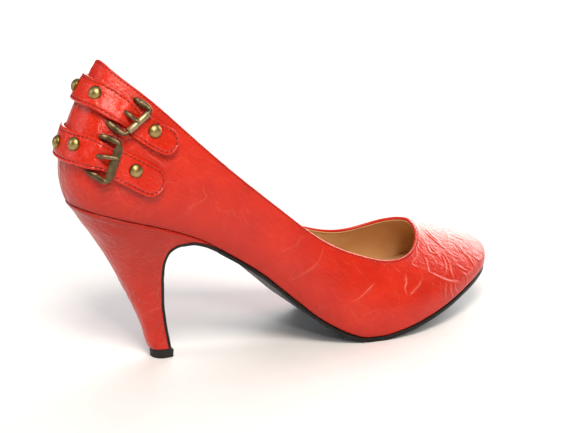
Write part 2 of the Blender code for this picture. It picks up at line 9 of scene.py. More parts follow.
import bmesh
import bpy
import numpy as np
from mathutils import Matrix, Vector, noise
from mathutils.bvhtree import BVHTree


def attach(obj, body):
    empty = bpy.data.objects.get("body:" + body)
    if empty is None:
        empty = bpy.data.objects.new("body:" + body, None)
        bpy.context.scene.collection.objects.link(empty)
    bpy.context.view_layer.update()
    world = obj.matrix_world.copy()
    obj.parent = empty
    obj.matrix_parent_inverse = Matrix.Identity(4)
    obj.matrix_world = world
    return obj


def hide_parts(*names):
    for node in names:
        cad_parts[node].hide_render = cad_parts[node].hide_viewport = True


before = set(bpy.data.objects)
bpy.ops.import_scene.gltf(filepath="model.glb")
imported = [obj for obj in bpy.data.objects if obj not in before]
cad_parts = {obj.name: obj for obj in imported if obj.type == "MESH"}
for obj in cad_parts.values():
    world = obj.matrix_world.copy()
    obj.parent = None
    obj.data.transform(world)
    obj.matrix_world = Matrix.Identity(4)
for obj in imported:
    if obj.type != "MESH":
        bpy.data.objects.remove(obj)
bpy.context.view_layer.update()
MM = 0.001

# The last and its parts, as in the part's source
SOLE_LENGTH = 0.2170
SEAT_BACK = -0.0409
BALL_WIDTH = 0.0720
SEAT_HEIGHT = 0.0780
TOE_SPRING = 0.0197
COLLAR_HEIGHT = 0.1435
WALL = 0.0016
SOLE_THICKNESS = 0.0021
SHANK_THICKNESS = 0.0017
FLAP_THICKNESS = 0.0014
INSOLE_THICKNESS = 0.0025
GAP = 0.0003
LIFT_LENGTH = 0.0088
LIFT_WIDTH = 0.0114
STRAP_THICKNESS = 0.0018
HINGE_ROD = 0.0006
BUCKLE_REACH = 0.0074
ROLLER_RADIUS = 0.0013

# Sewing, in mm: pitch, stitch length and thread of each row, then how far in from the edge it runs
TOPLINE_SEWING = (1.75, 1.1, 0.50)
LINING_SEWING = (1.65, 1.0, 0.30)
STRAP_SEWING = (2.2, 1.35, 0.54)
TOPLINE_STITCH = 1.3
LINING_STITCH = 1.7
STRAP_STITCH = 1.4

# The back seam, in metres: half the way round the upper, then the groove's half width and depth
HALF_WAY_ROUND = 0.235
SEAM_WIDTH = 0.45 * MM
SEAM_DEPTH = 0.22 * MM

# How far to each side of the hinge bar the strap rises, and the share of its width that it loses there
HINGE_RISE = 0.0034
STRAP_PINCH = 0.24

# The V cut open for the prong, in mm: half its width at the end bar, and its depth
V_HALF_WIDTH = 3.6
V_DEPTH = 0.75

# The cutters that trim the heel block reach this far in front, above, below and to each side
CUTTER_FRONT = 0.06
CUTTER_TOP = 0.14
CUTTER_REACH = 0.02
CUTTER_HALF = 0.05

HEEL_CREASES = 120

# The sole's underside: shares of the sole's length, the seat height and the toe spring
PROFILE = (
    # along, rise, spring
    (0.000, 1.000, 0.000),
    (0.081, 0.928, 0.000),
    (0.161, 0.855, 0.000),
    (0.242, 0.757, 0.000),
    (0.312, 0.630, 0.000),
    (0.383, 0.484, 0.000),
    (0.453, 0.302, 0.000),
    (0.514, 0.146, 0.000),
    (0.559, 0.062, 0.000),
    (0.585, 0.025, 0.000),
    (0.617, 0.000, 0.000),
    (0.650, 0.000, 0.000),
    (0.685, 0.000, 0.058),
    (0.719, 0.000, 0.140),
    (0.760, 0.000, 0.261),
    (0.826, 0.000, 0.462),
    (0.906, 0.000, 0.716),
    (1.007, 0.000, 1.000),
)

# The upper's ribs from the feather line to the topline, both sides
RIBS = (
    # along, outer, inner, top along, top outer, top inner, height, inner height, then the curve between:
    # handle, flare, top handle, lean
    (0.000, 0.000, 0.000, 0.083, 0.000, 0.000, 0.994, 0.994, 0.33, 20, 0.36, 34),
    (0.013, 0.153, 0.153, 0.087, 0.083, 0.083, 0.985, 0.985, 0.33, 20, 0.36, 31),
    (0.048, 0.244, 0.244, 0.106, 0.156, 0.156, 0.954, 0.954, 0.33, 18, 0.36, 24),
    (0.118, 0.306, 0.303, 0.154, 0.239, 0.239, 0.887, 0.887, 0.32, 14, 0.35, 14),
    (0.214, 0.317, 0.299, 0.233, 0.297, 0.294, 0.766, 0.766, 0.32, 11, 0.33, 9),
    (0.329, 0.311, 0.258, 0.334, 0.322, 0.317, 0.616, 0.616, 0.32, 12, 0.33, 7),
    (0.449, 0.347, 0.258, 0.440, 0.340, 0.336, 0.471, 0.471, 0.32, 12, 0.33, 8),
    (0.560, 0.431, 0.347, 0.541, 0.351, 0.349, 0.346, 0.341, 0.32, 12, 0.35, 16),
    (0.643, 0.486, 0.438, 0.620, 0.361, 0.358, 0.286, 0.283, 0.34, 12, 0.38, 26),
    (0.717, 0.508, 0.486, 0.685, 0.358, 0.353, 0.254, 0.261, 0.34, 12, 0.42, 38),
    (0.795, 0.479, 0.486, 0.741, 0.321, 0.315, 0.255, 0.271, 0.33, 12, 0.45, 48),
    (0.872, 0.394, 0.428, 0.779, 0.226, 0.228, 0.278, 0.295, 0.32, 14, 0.47, 55),
    (0.934, 0.289, 0.333, 0.801, 0.124, 0.130, 0.298, 0.311, 0.31, 18, 0.48, 58),
    (0.978, 0.161, 0.225, 0.811, 0.030, 0.060, 0.308, 0.315, 0.30, 21, 0.48, 60),
    (1.000, -0.047, 0.047, 0.814, -0.026, 0.026, 0.311, 0.311, 0.30, 22, 0.48, 60),
)

# The heel block: back line, length, width and tilt
HEEL_LEVELS = (
    # back x, back z, length, width, tilt
    (-0.524, 1.067, 1.000, 1.000, 1.00),
    (-0.524, 1.028, 1.000, 1.000, 1.00),
    (-0.485, 0.967, 0.950, 0.955, 1.00),
    (-0.441, 0.890, 0.880, 0.880, 0.95),
    (-0.386, 0.808, 0.790, 0.780, 0.90),
    (-0.331, 0.710, 0.690, 0.660, 0.80),
    (-0.277, 0.608, 0.585, 0.540, 0.70),
    (-0.222, 0.487, 0.470, 0.430, 0.55),
    (-0.167, 0.362, 0.360, 0.345, 0.40),
    (-0.128, 0.262, 0.300, 0.295, 0.25),
    (-0.106, 0.196, 0.270, 0.275, 0.15),
    (-0.074, 0.071, 0.235, 0.258, 0.00),
    (-0.064, 0.058, 0.230, 0.255, 0.00),
)

# The outer face of the sole's tail down the heel breast
BREAST = (
    # x, z as shares of the seat height
    (0.282, 0.672),
    (0.240, 0.701),
    (0.190, 0.728),
    (0.115, 0.750),
    (0.051, 0.748),
    (0.010, 0.726),
    (-0.008, 0.692),
    (-0.017, 0.628),
    (-0.014, 0.551),
    (-0.004, 0.449),
    (0.003, 0.346),
    (0.012, 0.282),
    (0.021, 0.218),
    (0.032, 0.154),
    (0.044, 0.083),
    (0.049, 0.058),
)

# The straps' centre lines over the counter
UPPER_STRAP_LINE = (
    # along, height
    (0.030, 0.916),
    (0.057, 0.902),
    (0.089, 0.867),
    (0.124, 0.816),
    (0.162, 0.770),
    (0.205, 0.734),
    (0.250, 0.705),
)
LOWER_STRAP_LINE = (
    # along, height
    (-0.016, 0.752),
    (0.018, 0.745),
    (0.050, 0.724),
    (0.085, 0.693),
    (0.124, 0.656),
    (0.166, 0.616),
    (0.210, 0.575),
)
STRAPS = {
    # name: line, width, inner end, outer end, end bar, skew, tips, studs (distance, across), all in mm
    "upper": (
        UPPER_STRAP_LINE, 12.4, -46.0, 52.3, 31.0, 1.3, (2.4, 1.6),
        ((-40.0, 0.0), (-5.0, 0.0), (9.8, 0.5), (39.2, 1.3)),
    ),
    "lower": (
        LOWER_STRAP_LINE, 13.6, -46.0, 53.5, 28.3, -1.2, (4.0, 1.0),
        ((-40.0, 0.0), (-2.2, -0.4), (10.4, 1.7), (38.0, 1.0)),
    ),
}

# Main creases of the upper: height in mm, width in mm, then places on the shell as (round the loop, up
# the rib)
CREASES = (
    # the long ridge over the toe's side and the folds that drop from it
    (0.42, 0.8, (0.770, 0.652), (0.777, 0.552), (0.789, 0.413), (0.803, 0.297), (0.815, 0.226)),
    (0.26, 0.9, (0.788, 0.390), (0.776, 0.295), (0.768, 0.144)),
    (0.30, 0.8, (0.796, 0.324), (0.787, 0.207), (0.790, 0.044)),
    (0.26, 0.7, (0.805, 0.283), (0.801, 0.176), (0.806, 0.059)),
    (0.24, 0.8, (0.841, 0.245), (0.839, 0.130), (0.836, 0.038)),
    # the diagonals over the toe cap
    (0.36, 0.8, (0.911, 0.580), (0.890, 0.491), (0.880, 0.354), (0.875, 0.260)),
    (0.22, 0.7, (0.906, 0.599), (0.886, 0.504), (0.880, 0.416)),
    (0.30, 0.9, (0.941, 0.930), (0.898, 0.876), (0.881, 0.793), (0.870, 0.696)),
    (0.24, 0.8, (0.944, 0.888), (0.903, 0.837), (0.887, 0.765)),
    # the arcs below the throat
    (0.34, 0.8, (0.792, 0.811), (0.776, 0.714), (0.766, 0.650)),
    (0.30, 0.8, (0.743, 0.638), (0.729, 0.577), (0.711, 0.529), (0.697, 0.487)),
    (0.24, 0.8, (0.713, 0.775), (0.706, 0.679), (0.694, 0.584), (0.692, 0.468)),
    (0.20, 1.0, (0.852, 0.893), (0.825, 0.801), (0.834, 0.727), (0.850, 0.704)),
    (0.18, 0.9, (0.839, 0.786), (0.829, 0.710), (0.804, 0.715)),
    (0.22, 0.9, (0.834, 0.647), (0.809, 0.520), (0.789, 0.460)),
    (0.26, 0.8, (0.829, 0.544), (0.815, 0.451), (0.806, 0.320)),
    (0.22, 0.8, (0.840, 0.447), (0.844, 0.341), (0.852, 0.256)),
    (0.26, 0.8, (0.835, 0.307), (0.844, 0.218), (0.864, 0.213), (0.900, 0.252)),
    (0.22, 0.8, (0.893, 0.339), (0.899, 0.216), (0.921, 0.182)),
    (0.20, 0.9, (0.789, 0.919), (0.762, 0.904), (0.747, 0.868), (0.754, 0.789)),
    (0.18, 1.0, (0.953, 0.667), (0.941, 0.582), (0.939, 0.495)),
    (0.18, 1.0, (0.987, 0.735), (0.948, 0.688), (0.908, 0.669)),
    # the straight crease behind the ball and faint ones near it
    (0.26, 0.6, (0.572, 0.430), (0.608, 0.586), (0.635, 0.717)),
    (0.08, 0.9, (0.578, 0.289), (0.604, 0.329), (0.632, 0.393)),
    (0.08, 1.0, (0.672, 0.629), (0.673, 0.502), (0.663, 0.368)),
    # the bends of the waist
    (0.16, 0.7, (0.519, 0.990), (0.528, 0.926), (0.513, 0.745), (0.484, 0.534), (0.453, 0.289)),
    (0.14, 0.7, (0.488, 0.946), (0.467, 0.784), (0.460, 0.648)),
    (0.12, 0.7, (0.509, 0.949), (0.505, 0.887)),
    (0.22, 0.7, (0.509, 0.691), (0.486, 0.531), (0.462, 0.365), (0.427, 0.071)),
    (0.12, 0.8, (0.289, 0.488), (0.299, 0.452), (0.326, 0.551)),
    (0.12, 0.7, (0.498, 0.166), (0.499, 0.138), (0.495, 0.096)),
    (0.10, 0.8, (0.303, 0.476), (0.320, 0.478)),
    # the quarter and the counter
    (0.22, 1.0, (0.067, 0.665), (0.065, 0.608), (0.075, 0.583)),
    (0.20, 0.9, (0.136, 0.527), (0.163, 0.480), (0.184, 0.433), (0.213, 0.477)),
    (0.18, 0.9, (0.154, 0.588), (0.177, 0.572), (0.192, 0.552)),
    (
        0.18, 0.7,
        (0.265, 0.644), (0.264, 0.540), (0.271, 0.504), (0.260, 0.413), (0.239, 0.298), (0.226, 0.109),
    ),
    (0.09, 0.9, (0.253, 0.437), (0.243, 0.348), (0.232, 0.226)),
    (0.09, 0.9, (0.171, 0.313), (0.154, 0.206), (0.141, 0.122), (0.128, 0.054)),
    (0.07, 0.9, (0.254, 0.404), (0.241, 0.256), (0.227, 0.125)),
    (0.07, 0.9, (0.197, 0.038), (0.222, 0.178), (0.237, 0.268)),
    (0.10, 1.0, (0.113, 0.203), (0.124, 0.144), (0.145, 0.152)),
    (0.08, 0.9, (0.074, 0.057), (0.094, 0.131), (0.113, 0.172)),
    (0.12, 0.7, (0.325, 0.579), (0.329, 0.491)),
    (0.12, 0.7, (0.485, 0.888), (0.449, 0.638), (0.418, 0.431)),
    (0.12, 0.7, (0.455, 0.422), (0.434, 0.152)),
    (0.16, 0.9, (0.104, 0.258), (0.116, 0.175)),
    (0.20, 0.9, (0.034, 0.599), (0.048, 0.659)),
    (0.22, 0.8, (0.000, 0.660), (0.012, 0.700)),
    # the inner side, which the photograph hides
    (0.22, 0.9, (1.230, 0.652), (1.222, 0.520), (1.205, 0.350), (1.190, 0.226)),
    (0.20, 0.9, (1.150, 0.800), (1.165, 0.690), (1.190, 0.600)),
    (0.24, 0.8, (1.100, 0.560), (1.118, 0.420), (1.135, 0.300)),
    (0.18, 0.8, (1.260, 0.780), (1.280, 0.640), (1.300, 0.500)),
    (0.16, 0.8, (1.470, 0.930), (1.490, 0.700), (1.520, 0.420)),
    (0.14, 0.8, (1.820, 0.560), (1.850, 0.480), (1.870, 0.440)),
)


def monotone(xs, ys, at):
    """A smooth curve through the points that never overshoots them."""
    xs, ys, at = (np.asarray(v, float) for v in (xs, ys, at))
    step = np.diff(xs)
    slope = np.diff(ys) / step
    bend = np.zeros_like(xs)
    for i in range(1, len(xs) - 1):
        if slope[i - 1] * slope[i] > 0:
            before, after = 2 * step[i] + step[i - 1], step[i] + 2 * step[i - 1]
            bend[i] = (before + after) / (before / slope[i - 1] + after / slope[i])
    bend[0], bend[-1] = slope[0], slope[-1]
    k = np.clip(np.searchsorted(xs, at, side="right") - 1, 0, len(step) - 1)
    t = (at - xs[k]) / step[k]
    return (
        (1 + 2 * t) * (1 - t) ** 2 * ys[k]
        + t * (1 - t) ** 2 * step[k] * bend[k]
        + t * t * (3 - 2 * t) * ys[k + 1]
        + t * t * (t - 1) * step[k] * bend[k + 1]
    )


def smooth(t):
    """An eased step from 0 to 1."""
    t = np.clip(t, 0, 1)
    return t * t * (3 - 2 * t)


def unit(v):
    """Directions of length 1."""
    return v / np.linalg.norm(v, axis=-1, keepdims=True)


def underside(x):
    """The height of the sole's underside, or of the heel seat less a sole's thickness."""
    along, rise, spring = np.array(PROFILE).T
    at = (np.asarray(x, float) - SEAT_BACK) / SOLE_LENGTH
    return SEAT_HEIGHT * monotone(along, rise, at) + TOE_SPRING * monotone(along, spring, at)


def spline_bends(knots, values, period):
    """The bend at each knot of a smooth closed curve."""
    count = len(knots)
    step = np.diff(np.append(knots, knots[0] + period))
    matrix = np.zeros((count, count))
    right = np.zeros((count, values.shape[1]))
    for i in range(count):
        before, after = (i - 1) % count, (i + 1) % count
        matrix[i, before] += step[before]
        matrix[i, i] += 2 * (step[before] + step[i])
        matrix[i, after] += step[i]
        right[i] = 6 * (values[after] - values[i]) / step[i] - 6 * (values[i] - values[before]) / step[before]
    return np.linalg.solve(matrix, right)


def closed_spline(knots, values, bend, at, period):
    """The closed curve through the knots, at any place round it."""
    step = np.diff(np.append(knots, knots[0] + period))
    at = np.mod(np.asarray(at, float) - knots[0], period) + knots[0]
    k = np.searchsorted(knots, at, side="right") - 1
    after = (k + 1) % len(knots)
    t, h = (at - knots[k])[:, None], step[k][:, None]
    lift = (values[after] - values[k]) / h - h * (2 * bend[k] + bend[after]) / 6
    return values[k] + t * lift + t * t * bend[k] / 2 + t**3 * (bend[after] - bend[k]) / (6 * h)


def rib_loop():
    """The rib table as one closed loop: 0 the back, 1 the toe, the outer side first."""
    table = np.array(RIBS, float)
    x = table[:, 0] * SOLE_LENGTH
    half = (table[:, 1] + table[:, 2]) / 2 * BALL_WIDTH
    run = np.concatenate([[0], np.cumsum(np.hypot(np.diff(x), np.diff(half)))])
    run /= run[-1]

    def side(sign, foot, top, height):
        return np.column_stack(
            [
                SEAT_BACK + table[:, 0] * SOLE_LENGTH,
                sign * table[:, foot] * BALL_WIDTH,
                SEAT_BACK + table[:, 3] * SOLE_LENGTH,
                sign * table[:, top] * BALL_WIDTH,
                table[:, height] * COLLAR_HEIGHT,
                table[:, 8],
                np.radians(table[:, 9]),
                table[:, 10],
                np.radians(table[:, 11]),
            ]
        )

    outer, inner = side(-1, 1, 4, 6), side(1, 2, 5, 7)
    knots = np.concatenate([run, 2 - run[-2:0:-1]])
    values = np.vstack([outer[:-1], inner[-1:], inner[-2:0:-1]])
    return knots, values, spline_bends(knots, values, 2.0)


LOOP = rib_loop()


def rib_points(s):
    """The four points of the rib at each place s round the loop, as an array of 4 x places x 3."""
    s = np.atleast_1d(np.asarray(s, float))
    row = closed_spline(*LOOP, s, 2.0)
    turn = closed_spline(*LOOP, s + 1e-4, 2.0) - closed_spline(*LOOP, s - 1e-4, 2.0)

    def outward(dx, dy):
        return unit(np.column_stack([dy, -dx, np.zeros(len(dx))]))

    foot_out, top_out = outward(turn[:, 0], turn[:, 1]), outward(turn[:, 2], turn[:, 3])
    foot = np.column_stack([row[:, 0], row[:, 1], underside(row[:, 0]) + SOLE_THICKNESS + GAP])
    top = row[:, 2:5]
    length = np.linalg.norm(top - foot, axis=1)[:, None]
    up = np.array([0.0, 0.0, 1.0])
    low = foot + length * row[:, 5:6] * (np.cos(row[:, 6:7]) * up + np.sin(row[:, 6:7]) * foot_out)
    high = top + length * row[:, 7:8] * (np.sin(row[:, 8:9]) * top_out - np.cos(row[:, 8:9]) * up)
    return np.array([foot, low, high, top])


def along_rib(ribs, t):
    """Points on each rib at its own row of t."""
    foot, low, high, top = ribs[:, :, None, :]
    t = t[..., None]
    return (1 - t) ** 3 * foot + 3 * t * (1 - t) ** 2 * low + 3 * t * t * (1 - t) * high + t**3 * top


def shell_at(s, t):
    """Points of the upper's outer face, the directions round and up it and its normal; t has a row per s."""
    ribs = rib_points(s)
    foot, low, high, top = ribs[:, :, None, :]
    r = t[..., None]
    points = along_rib(ribs, t)
    round_it = (along_rib(rib_points(s + 1e-4), t) - along_rib(rib_points(s - 1e-4), t)) / 2e-4
    up_it = 3 * (1 - r) ** 2 * (low - foot) + 6 * r * (1 - r) * (high - low) + 3 * r * r * (top - high)
    return points, round_it, up_it, unit(np.cross(round_it, up_it))


def on_shell(s, t):
    """The same for single places."""
    s, t = np.atleast_1d(s), np.atleast_1d(t)
    return [v[:, 0] for v in shell_at(s, t[:, None])]


def rib_runs(s):
    """The length of each rib, and t against the distance down from the topline."""
    t = np.linspace(0, 1, 161)
    points = along_rib(rib_points(s), np.broadcast_to(t, (len(s), len(t))))
    steps = np.linalg.norm(np.diff(points, axis=1), axis=2)
    return t, np.concatenate([np.zeros((len(s), 1)), np.cumsum(steps, 1)], 1)


def t_below(s, down):
    """t at each distance down from the topline, one row of distances per place."""
    t, run = rib_runs(s)
    return np.array([np.interp(r[-1] - d, r, t) for r, d in zip(run, down)])


def hexed(code):
    """An sRGB hex colour as linear values."""
    parts = [int(code[i : i + 2], 16) / 255 for i in (1, 3, 5)]
    return (*[c / 12.92 if c <= 0.04045 else ((c + 0.055) / 1.055) ** 2.4 for c in parts], 1.0)


def add(tree, kind, inputs=None, **settings):
    """Adds a node: settings are its properties, inputs its values or the sockets that feed it."""
    made = tree.nodes.new(kind)
    for key, value in settings.items():
        setattr(made, key, value)
    for key, value in (inputs or {}).items():
        socket = made.inputs[key]
        if isinstance(value, bpy.types.NodeSocket):
            tree.links.new(value, socket)
        else:
            socket.default_value = value
    return made


def ramp(tree, fac, *stops):
    """A colour ramp through (place, colour) stops."""
    made = add(tree, "ShaderNodeValToRGB", {"Fac": fac})
    bar = made.color_ramp.elements
    while len(bar) < len(stops):
        bar.new(1.0)
    for element, (place, colour) in zip(bar, stops):
        element.position = place
        element.color = hexed(colour) if isinstance(colour, str) else (colour, colour, colour, 1.0)
    return made.outputs["Color"]


def start(name, **principled):
    """A material with these values on its shader, and the place on the piece to draw its patterns by."""
    made = bpy.data.materials.new(name)
    made.use_nodes = True
    tree = made.node_tree
    shader = tree.nodes["Principled BSDF"]
    for key, value in principled.items():
        shader.inputs[key.replace("_", " ")].default_value = value
    where = tree.nodes.new("ShaderNodeTexCoord").outputs["Object"]
    return made, tree, shader, where


def facets(tree, where, size, stretch):
    """Flat facets about this many mm wide that meet in straight folds: their height and the folds, 0 to 1."""
    bend = add(tree, "ShaderNodeTexNoise", {"Vector": where, "Scale": 1 / (3 * size * MM), "Detail": 1.0})
    moved = add(
        tree,
        "ShaderNodeVectorMath",
        {0: bend.outputs["Color"], 1: (1.2 * size * MM,) * 3, 2: where},
        operation="MULTIPLY_ADD",
    )
    scaled = add(tree, "ShaderNodeVectorMath", {0: moved.outputs[0], 1: stretch}, operation="MULTIPLY")
    cells = add(
        tree,
        "ShaderNodeTexVoronoi",
        {"Vector": scaled.outputs[0], "Scale": 1 / (size * MM)},
        feature="DISTANCE_TO_EDGE",
    )
    edge = cells.outputs["Distance"]
    return edge, ramp(tree, edge, (0.0, 1.0), (0.025, 0.3), (0.06, 0.0))


def coated_leather():
    """Crinkled coated calf: a bright red coat that stays glossy while the leather under it creases, so the
    light breaks up into small sparks on the toe and the counter and lies soft on the smooth quarter."""
    made, tree, shader, where = start(
        "crinkled coated calf, red", Coat_Weight=0.30, Coat_Roughness=0.30, Specular_IOR_Level=0.28
    )
    link = tree.links.new

    def mark(name):
        return add(tree, "ShaderNodeAttribute", attribute_name=name).outputs["Fac"]

    def math_node(operation, *values):
        return add(tree, "ShaderNodeMath", dict(enumerate(values)), operation=operation).outputs[0]

    crinkle, wear_and_highlight, painted_shade = mark("crinkle"), mark("wear_and_highlight"), mark("painted_shade")
    # the listed creases: a narrow ridge on the line itself, which the mesh is too coarse to hold
    off_line = math_node("ABSOLUTE", mark("crease"))
    line = ramp(tree, off_line, (0.0, 1.0), (0.18, 0.5), (0.38, 0.0))
    fold = math_node("MULTIPLY", line, mark("crease_amount"))
    # cloudy dye, 14 mm patches
    cloud = add(tree, "ShaderNodeTexNoise", {"Vector": where, "Scale": 1 / (14 * MM), "Detail": 3.0})
    # crinkles: large facets drawn out along the shoe, small ones between them, both broken up in patches
    large, large_folds = facets(tree, where, 8.0, (1.0, 1.0, 0.6))
    small, small_folds = facets(tree, where, 3.8, (0.75, 1.0, 1.1))
    patch = add(tree, "ShaderNodeTexNoise", {"Vector": where, "Scale": 1 / (6 * MM), "Detail": 1.0})
    broken = ramp(tree, patch.outputs["Fac"], (0.42, 0.0), (0.58, 1.0))
    # pores of the grain, 0.6 mm apart, pebbles of 1.1 mm and a soft wave of 3 mm
    grain = add(tree, "ShaderNodeTexNoise", {"Vector": where, "Scale": 1 / (0.6 * MM), "Detail": 2.0})
    pebbles = {"Vector": where, "Scale": 1 / (1.1 * MM)}
    pebble = add(tree, "ShaderNodeTexVoronoi", pebbles, feature="SMOOTH_F1")
    wave = add(tree, "ShaderNodeTexNoise", {"Vector": where, "Scale": 1 / (3.0 * MM), "Detail": 3.0})
    # fine streaks of the hide, which run along the topline: 8 mm long and 1 to 1.6 mm apart
    turned = add(tree, "ShaderNodeMapping", {"Vector": where}, vector_type="TEXTURE")
    turned.inputs["Rotation"].default_value = (0.0, math.radians(36), 0.0)
    turned.inputs["Scale"].default_value = (8 * MM, 1.6 * MM, 1.0 * MM)
    hide = add(tree, "ShaderNodeTexNoise", {"Vector": turned.outputs[0], "Scale": 1.0, "Detail": 2.0})
    streak = hide.outputs["Fac"]

    relief = math_node("MULTIPLY", large, 3.6)
    relief = math_node("MULTIPLY_ADD", small, 2.6, relief)
    relief = math_node("MULTIPLY_ADD", math_node("MULTIPLY", large_folds, broken), 0.55, relief)
    relief = math_node("MULTIPLY_ADD", small_folds, 0.22, relief)
    relief = math_node("MULTIPLY", relief, crinkle)
    relief = math_node("MULTIPLY_ADD", fold, 0.8, relief)
    # the grain stands out more where the leather is crinkled
    coarse = add(tree, "ShaderNodeMapRange", {0: crinkle, 1: 0.4, 2: 0.8, 3: 1.9, 4: 2.4}).outputs[0]
    fine = math_node("MULTIPLY", grain.outputs["Fac"], 0.45)
    fine = math_node("MULTIPLY_ADD", pebble.outputs["Distance"], -0.32, fine)
    relief = math_node("MULTIPLY_ADD", fine, coarse, relief)
    relief = math_node("MULTIPLY_ADD", wave.outputs["Fac"], 0.45, relief)
    relief = math_node("MULTIPLY_ADD", streak, 0.8, relief)
    bump = add(tree, "ShaderNodeBump", {"Strength": 1.0, "Distance": 0.16 * MM, "Height": relief})
    link(bump.outputs["Normal"], shader.inputs["Normal"])
    link(bump.outputs["Normal"], shader.inputs["Coat Normal"])
    red = ramp(tree, cloud.outputs["Fac"], (0.3, "#bf1f06"), (0.55, "#cb2407"), (0.8, "#d62c0a"))
    speck = ramp(tree, grain.outputs["Fac"], (0.35, 0.0), (0.65, 0.22))
    dyed = add(tree, "ShaderNodeMix", {0: speck, 6: red, 7: hexed("#ad1a06")}, data_type="RGBA").outputs[2]
    # the hide's streaks, and the crease ridges paled partly as wear and partly as a painted highlight, lift
    # the red towards #e0543c
    streaks_wear_and_highlight = math_node("MAXIMUM", wear_and_highlight, ramp(tree, streak, (0.56, 0.0), (0.72, 0.14)))
    wear_and_sheen = add(tree, "ShaderNodeMix", {0: streaks_wear_and_highlight, 6: dyed, 7: hexed("#e0543c")}, data_type="RGBA").outputs[2]
    # the crease lines are paled towards #ea7a64, partly as wear and partly as a painted highlight
    crease_wear_and_highlight = math_node("MULTIPLY", fold, 0.48)
    creased = add(tree, "ShaderNodeMix", {0: crease_wear_and_highlight, 6: wear_and_sheen, 7: hexed("#ea7a64")}, data_type="RGBA").outputs[2]
    # painted shade: the base colour darkens towards #8c1405 where the shade mark lies, low on the upper, over
    # the heel and along the straps' undersides
    dark = add(tree, "ShaderNodeMix", {0: painted_shade, 6: creased, 7: hexed("#8c1405")}, data_type="RGBA")
    link(dark.outputs[2], shader.inputs["Base Color"])
    # glossiest on the straps and the counter, duller where the painted shade lies
    dull = ramp(tree, crinkle, (0.1, 0.28), (0.45, 0.36), (0.7, 0.17))
    gloss = math_node("MULTIPLY_ADD", cloud.outputs["Fac"], 0.16, dull)
    link(math_node("MULTIPLY_ADD", painted_shade, 0.30, gloss), shader.inputs["Roughness"])
    return made


def lining_leather():
    """Vegetable-tanned pigskin: pale tan with a dull sheen, small pores and a slightly darker cloud."""
    made, tree, shader, where = start("tanned pigskin lining", Roughness=0.50)
    link = tree.links.new
    cloud = add(tree, "ShaderNodeTexNoise", {"Vector": where, "Scale": 1 / (16 * MM), "Detail": 4.0})
    pores = add(tree, "ShaderNodeTexVoronoi", {"Vector": where, "Scale": 1 / (1.1 * MM)})
    dots = ramp(tree, pores.outputs["Distance"], (0.0, 0.0), (0.35, 1.0))
    fold = add(tree, "ShaderNodeTexNoise", {"Vector": where, "Scale": 1 / (5 * MM), "Detail": 3.0})
    height = add(tree, "ShaderNodeMath", {0: fold.outputs["Fac"], 1: 2.0, 2: dots}, operation="MULTIPLY_ADD")
    bump = add(tree, "ShaderNodeBump", {"Strength": 0.35, "Distance": 0.12 * MM, "Height": height.outputs[0]})
    link(bump.outputs["Normal"], shader.inputs["Normal"])
    link(ramp(tree, cloud.outputs["Fac"], (0.3, "#cda270"), (0.7, "#dab486")), shader.inputs["Base Color"])
    return made


def edge_leather(name, dark, light, roughness, pore):
    """Sole leather dyed black and waxed at its edge, or the moulded rubber of the lift: nearly black, with a
    dull shine that breaks over fine scratches and pores."""
    made, tree, shader, where = start(name, Roughness=roughness, Specular_IOR_Level=0.30)
    link = tree.links.new
    grain = add(tree, "ShaderNodeTexNoise", {"Vector": where, "Scale": 1 / (pore * MM), "Detail": 4.0})
    wide = add(tree, "ShaderNodeTexNoise", {"Vector": where, "Scale": 1 / (9 * MM), "Detail": 3.0})
    mixed = {0: wide.outputs["Fac"], 1: 1.5, 2: grain.outputs["Fac"]}
    height = add(tree, "ShaderNodeMath", mixed, operation="MULTIPLY_ADD")
    bump = add(tree, "ShaderNodeBump", {"Strength": 0.3, "Distance": 0.12 * MM, "Height": height.outputs[0]})
    link(bump.outputs["Normal"], shader.inputs["Normal"])
    link(ramp(tree, wide.outputs["Fac"], (0.3, dark), (0.75, light)), shader.inputs["Base Color"])
    return made


def antiqued_metal(name, deep, face, bright, roughness):
    """Plated die-cast metal, browned and then rubbed back: dark in its hollows, brighter on worn faces, with
    a grey-gold gleam. On the roller a share of the brightness is painted light."""
    made, tree, shader, where = start(name, Metallic=1.0)
    link = tree.links.new
    cloud = add(tree, "ShaderNodeTexNoise", {"Vector": where, "Scale": 1 / (2.2 * MM), "Detail": 4.0})
    fine = add(tree, "ShaderNodeTexNoise", {"Vector": where, "Scale": 1 / (0.5 * MM), "Detail": 2.0})
    # the brightness mark lifts the colour: wear on the studs' domes, painted light on the roller
    wear_and_highlight = add(tree, "ShaderNodeAttribute", attribute_name="wear_and_highlight").outputs["Fac"]
    mixed = add(tree, "ShaderNodeMath", {0: cloud.outputs["Fac"], 1: 0.5, 2: -0.25}, operation="MULTIPLY_ADD")
    level = add(tree, "ShaderNodeMath", {0: mixed.outputs[0], 1: wear_and_highlight}, operation="ADD").outputs[0]
    link(ramp(tree, level, (0.1, deep), (0.5, face), (0.95, bright)), shader.inputs["Base Color"])
    wear_and_sheen = ramp(tree, cloud.outputs["Fac"], (0.3, roughness), (0.75, roughness + 0.14))
    link(wear_and_sheen, shader.inputs["Roughness"])
    pitted = {"Strength": 0.25, "Distance": 0.06 * MM, "Height": fine.outputs["Fac"]}
    bump = add(tree, "ShaderNodeBump", pitted)
    link(bump.outputs["Normal"], shader.inputs["Normal"])
    return made


def sewing_thread(name, colour, light):
    """Bonded polyester thread: a tight twist, drawn as a fine stripe across it, with little shine."""
    made, tree, shader, where = start(name, Roughness=0.6)
    twist = add(tree, "ShaderNodeTexNoise", {"Vector": where, "Scale": 1 / (0.25 * MM), "Detail": 1.0})
    stripes = ramp(tree, twist.outputs["Fac"], (0.35, colour), (0.7, light))
    tree.links.new(stripes, shader.inputs["Base Color"])
    return made


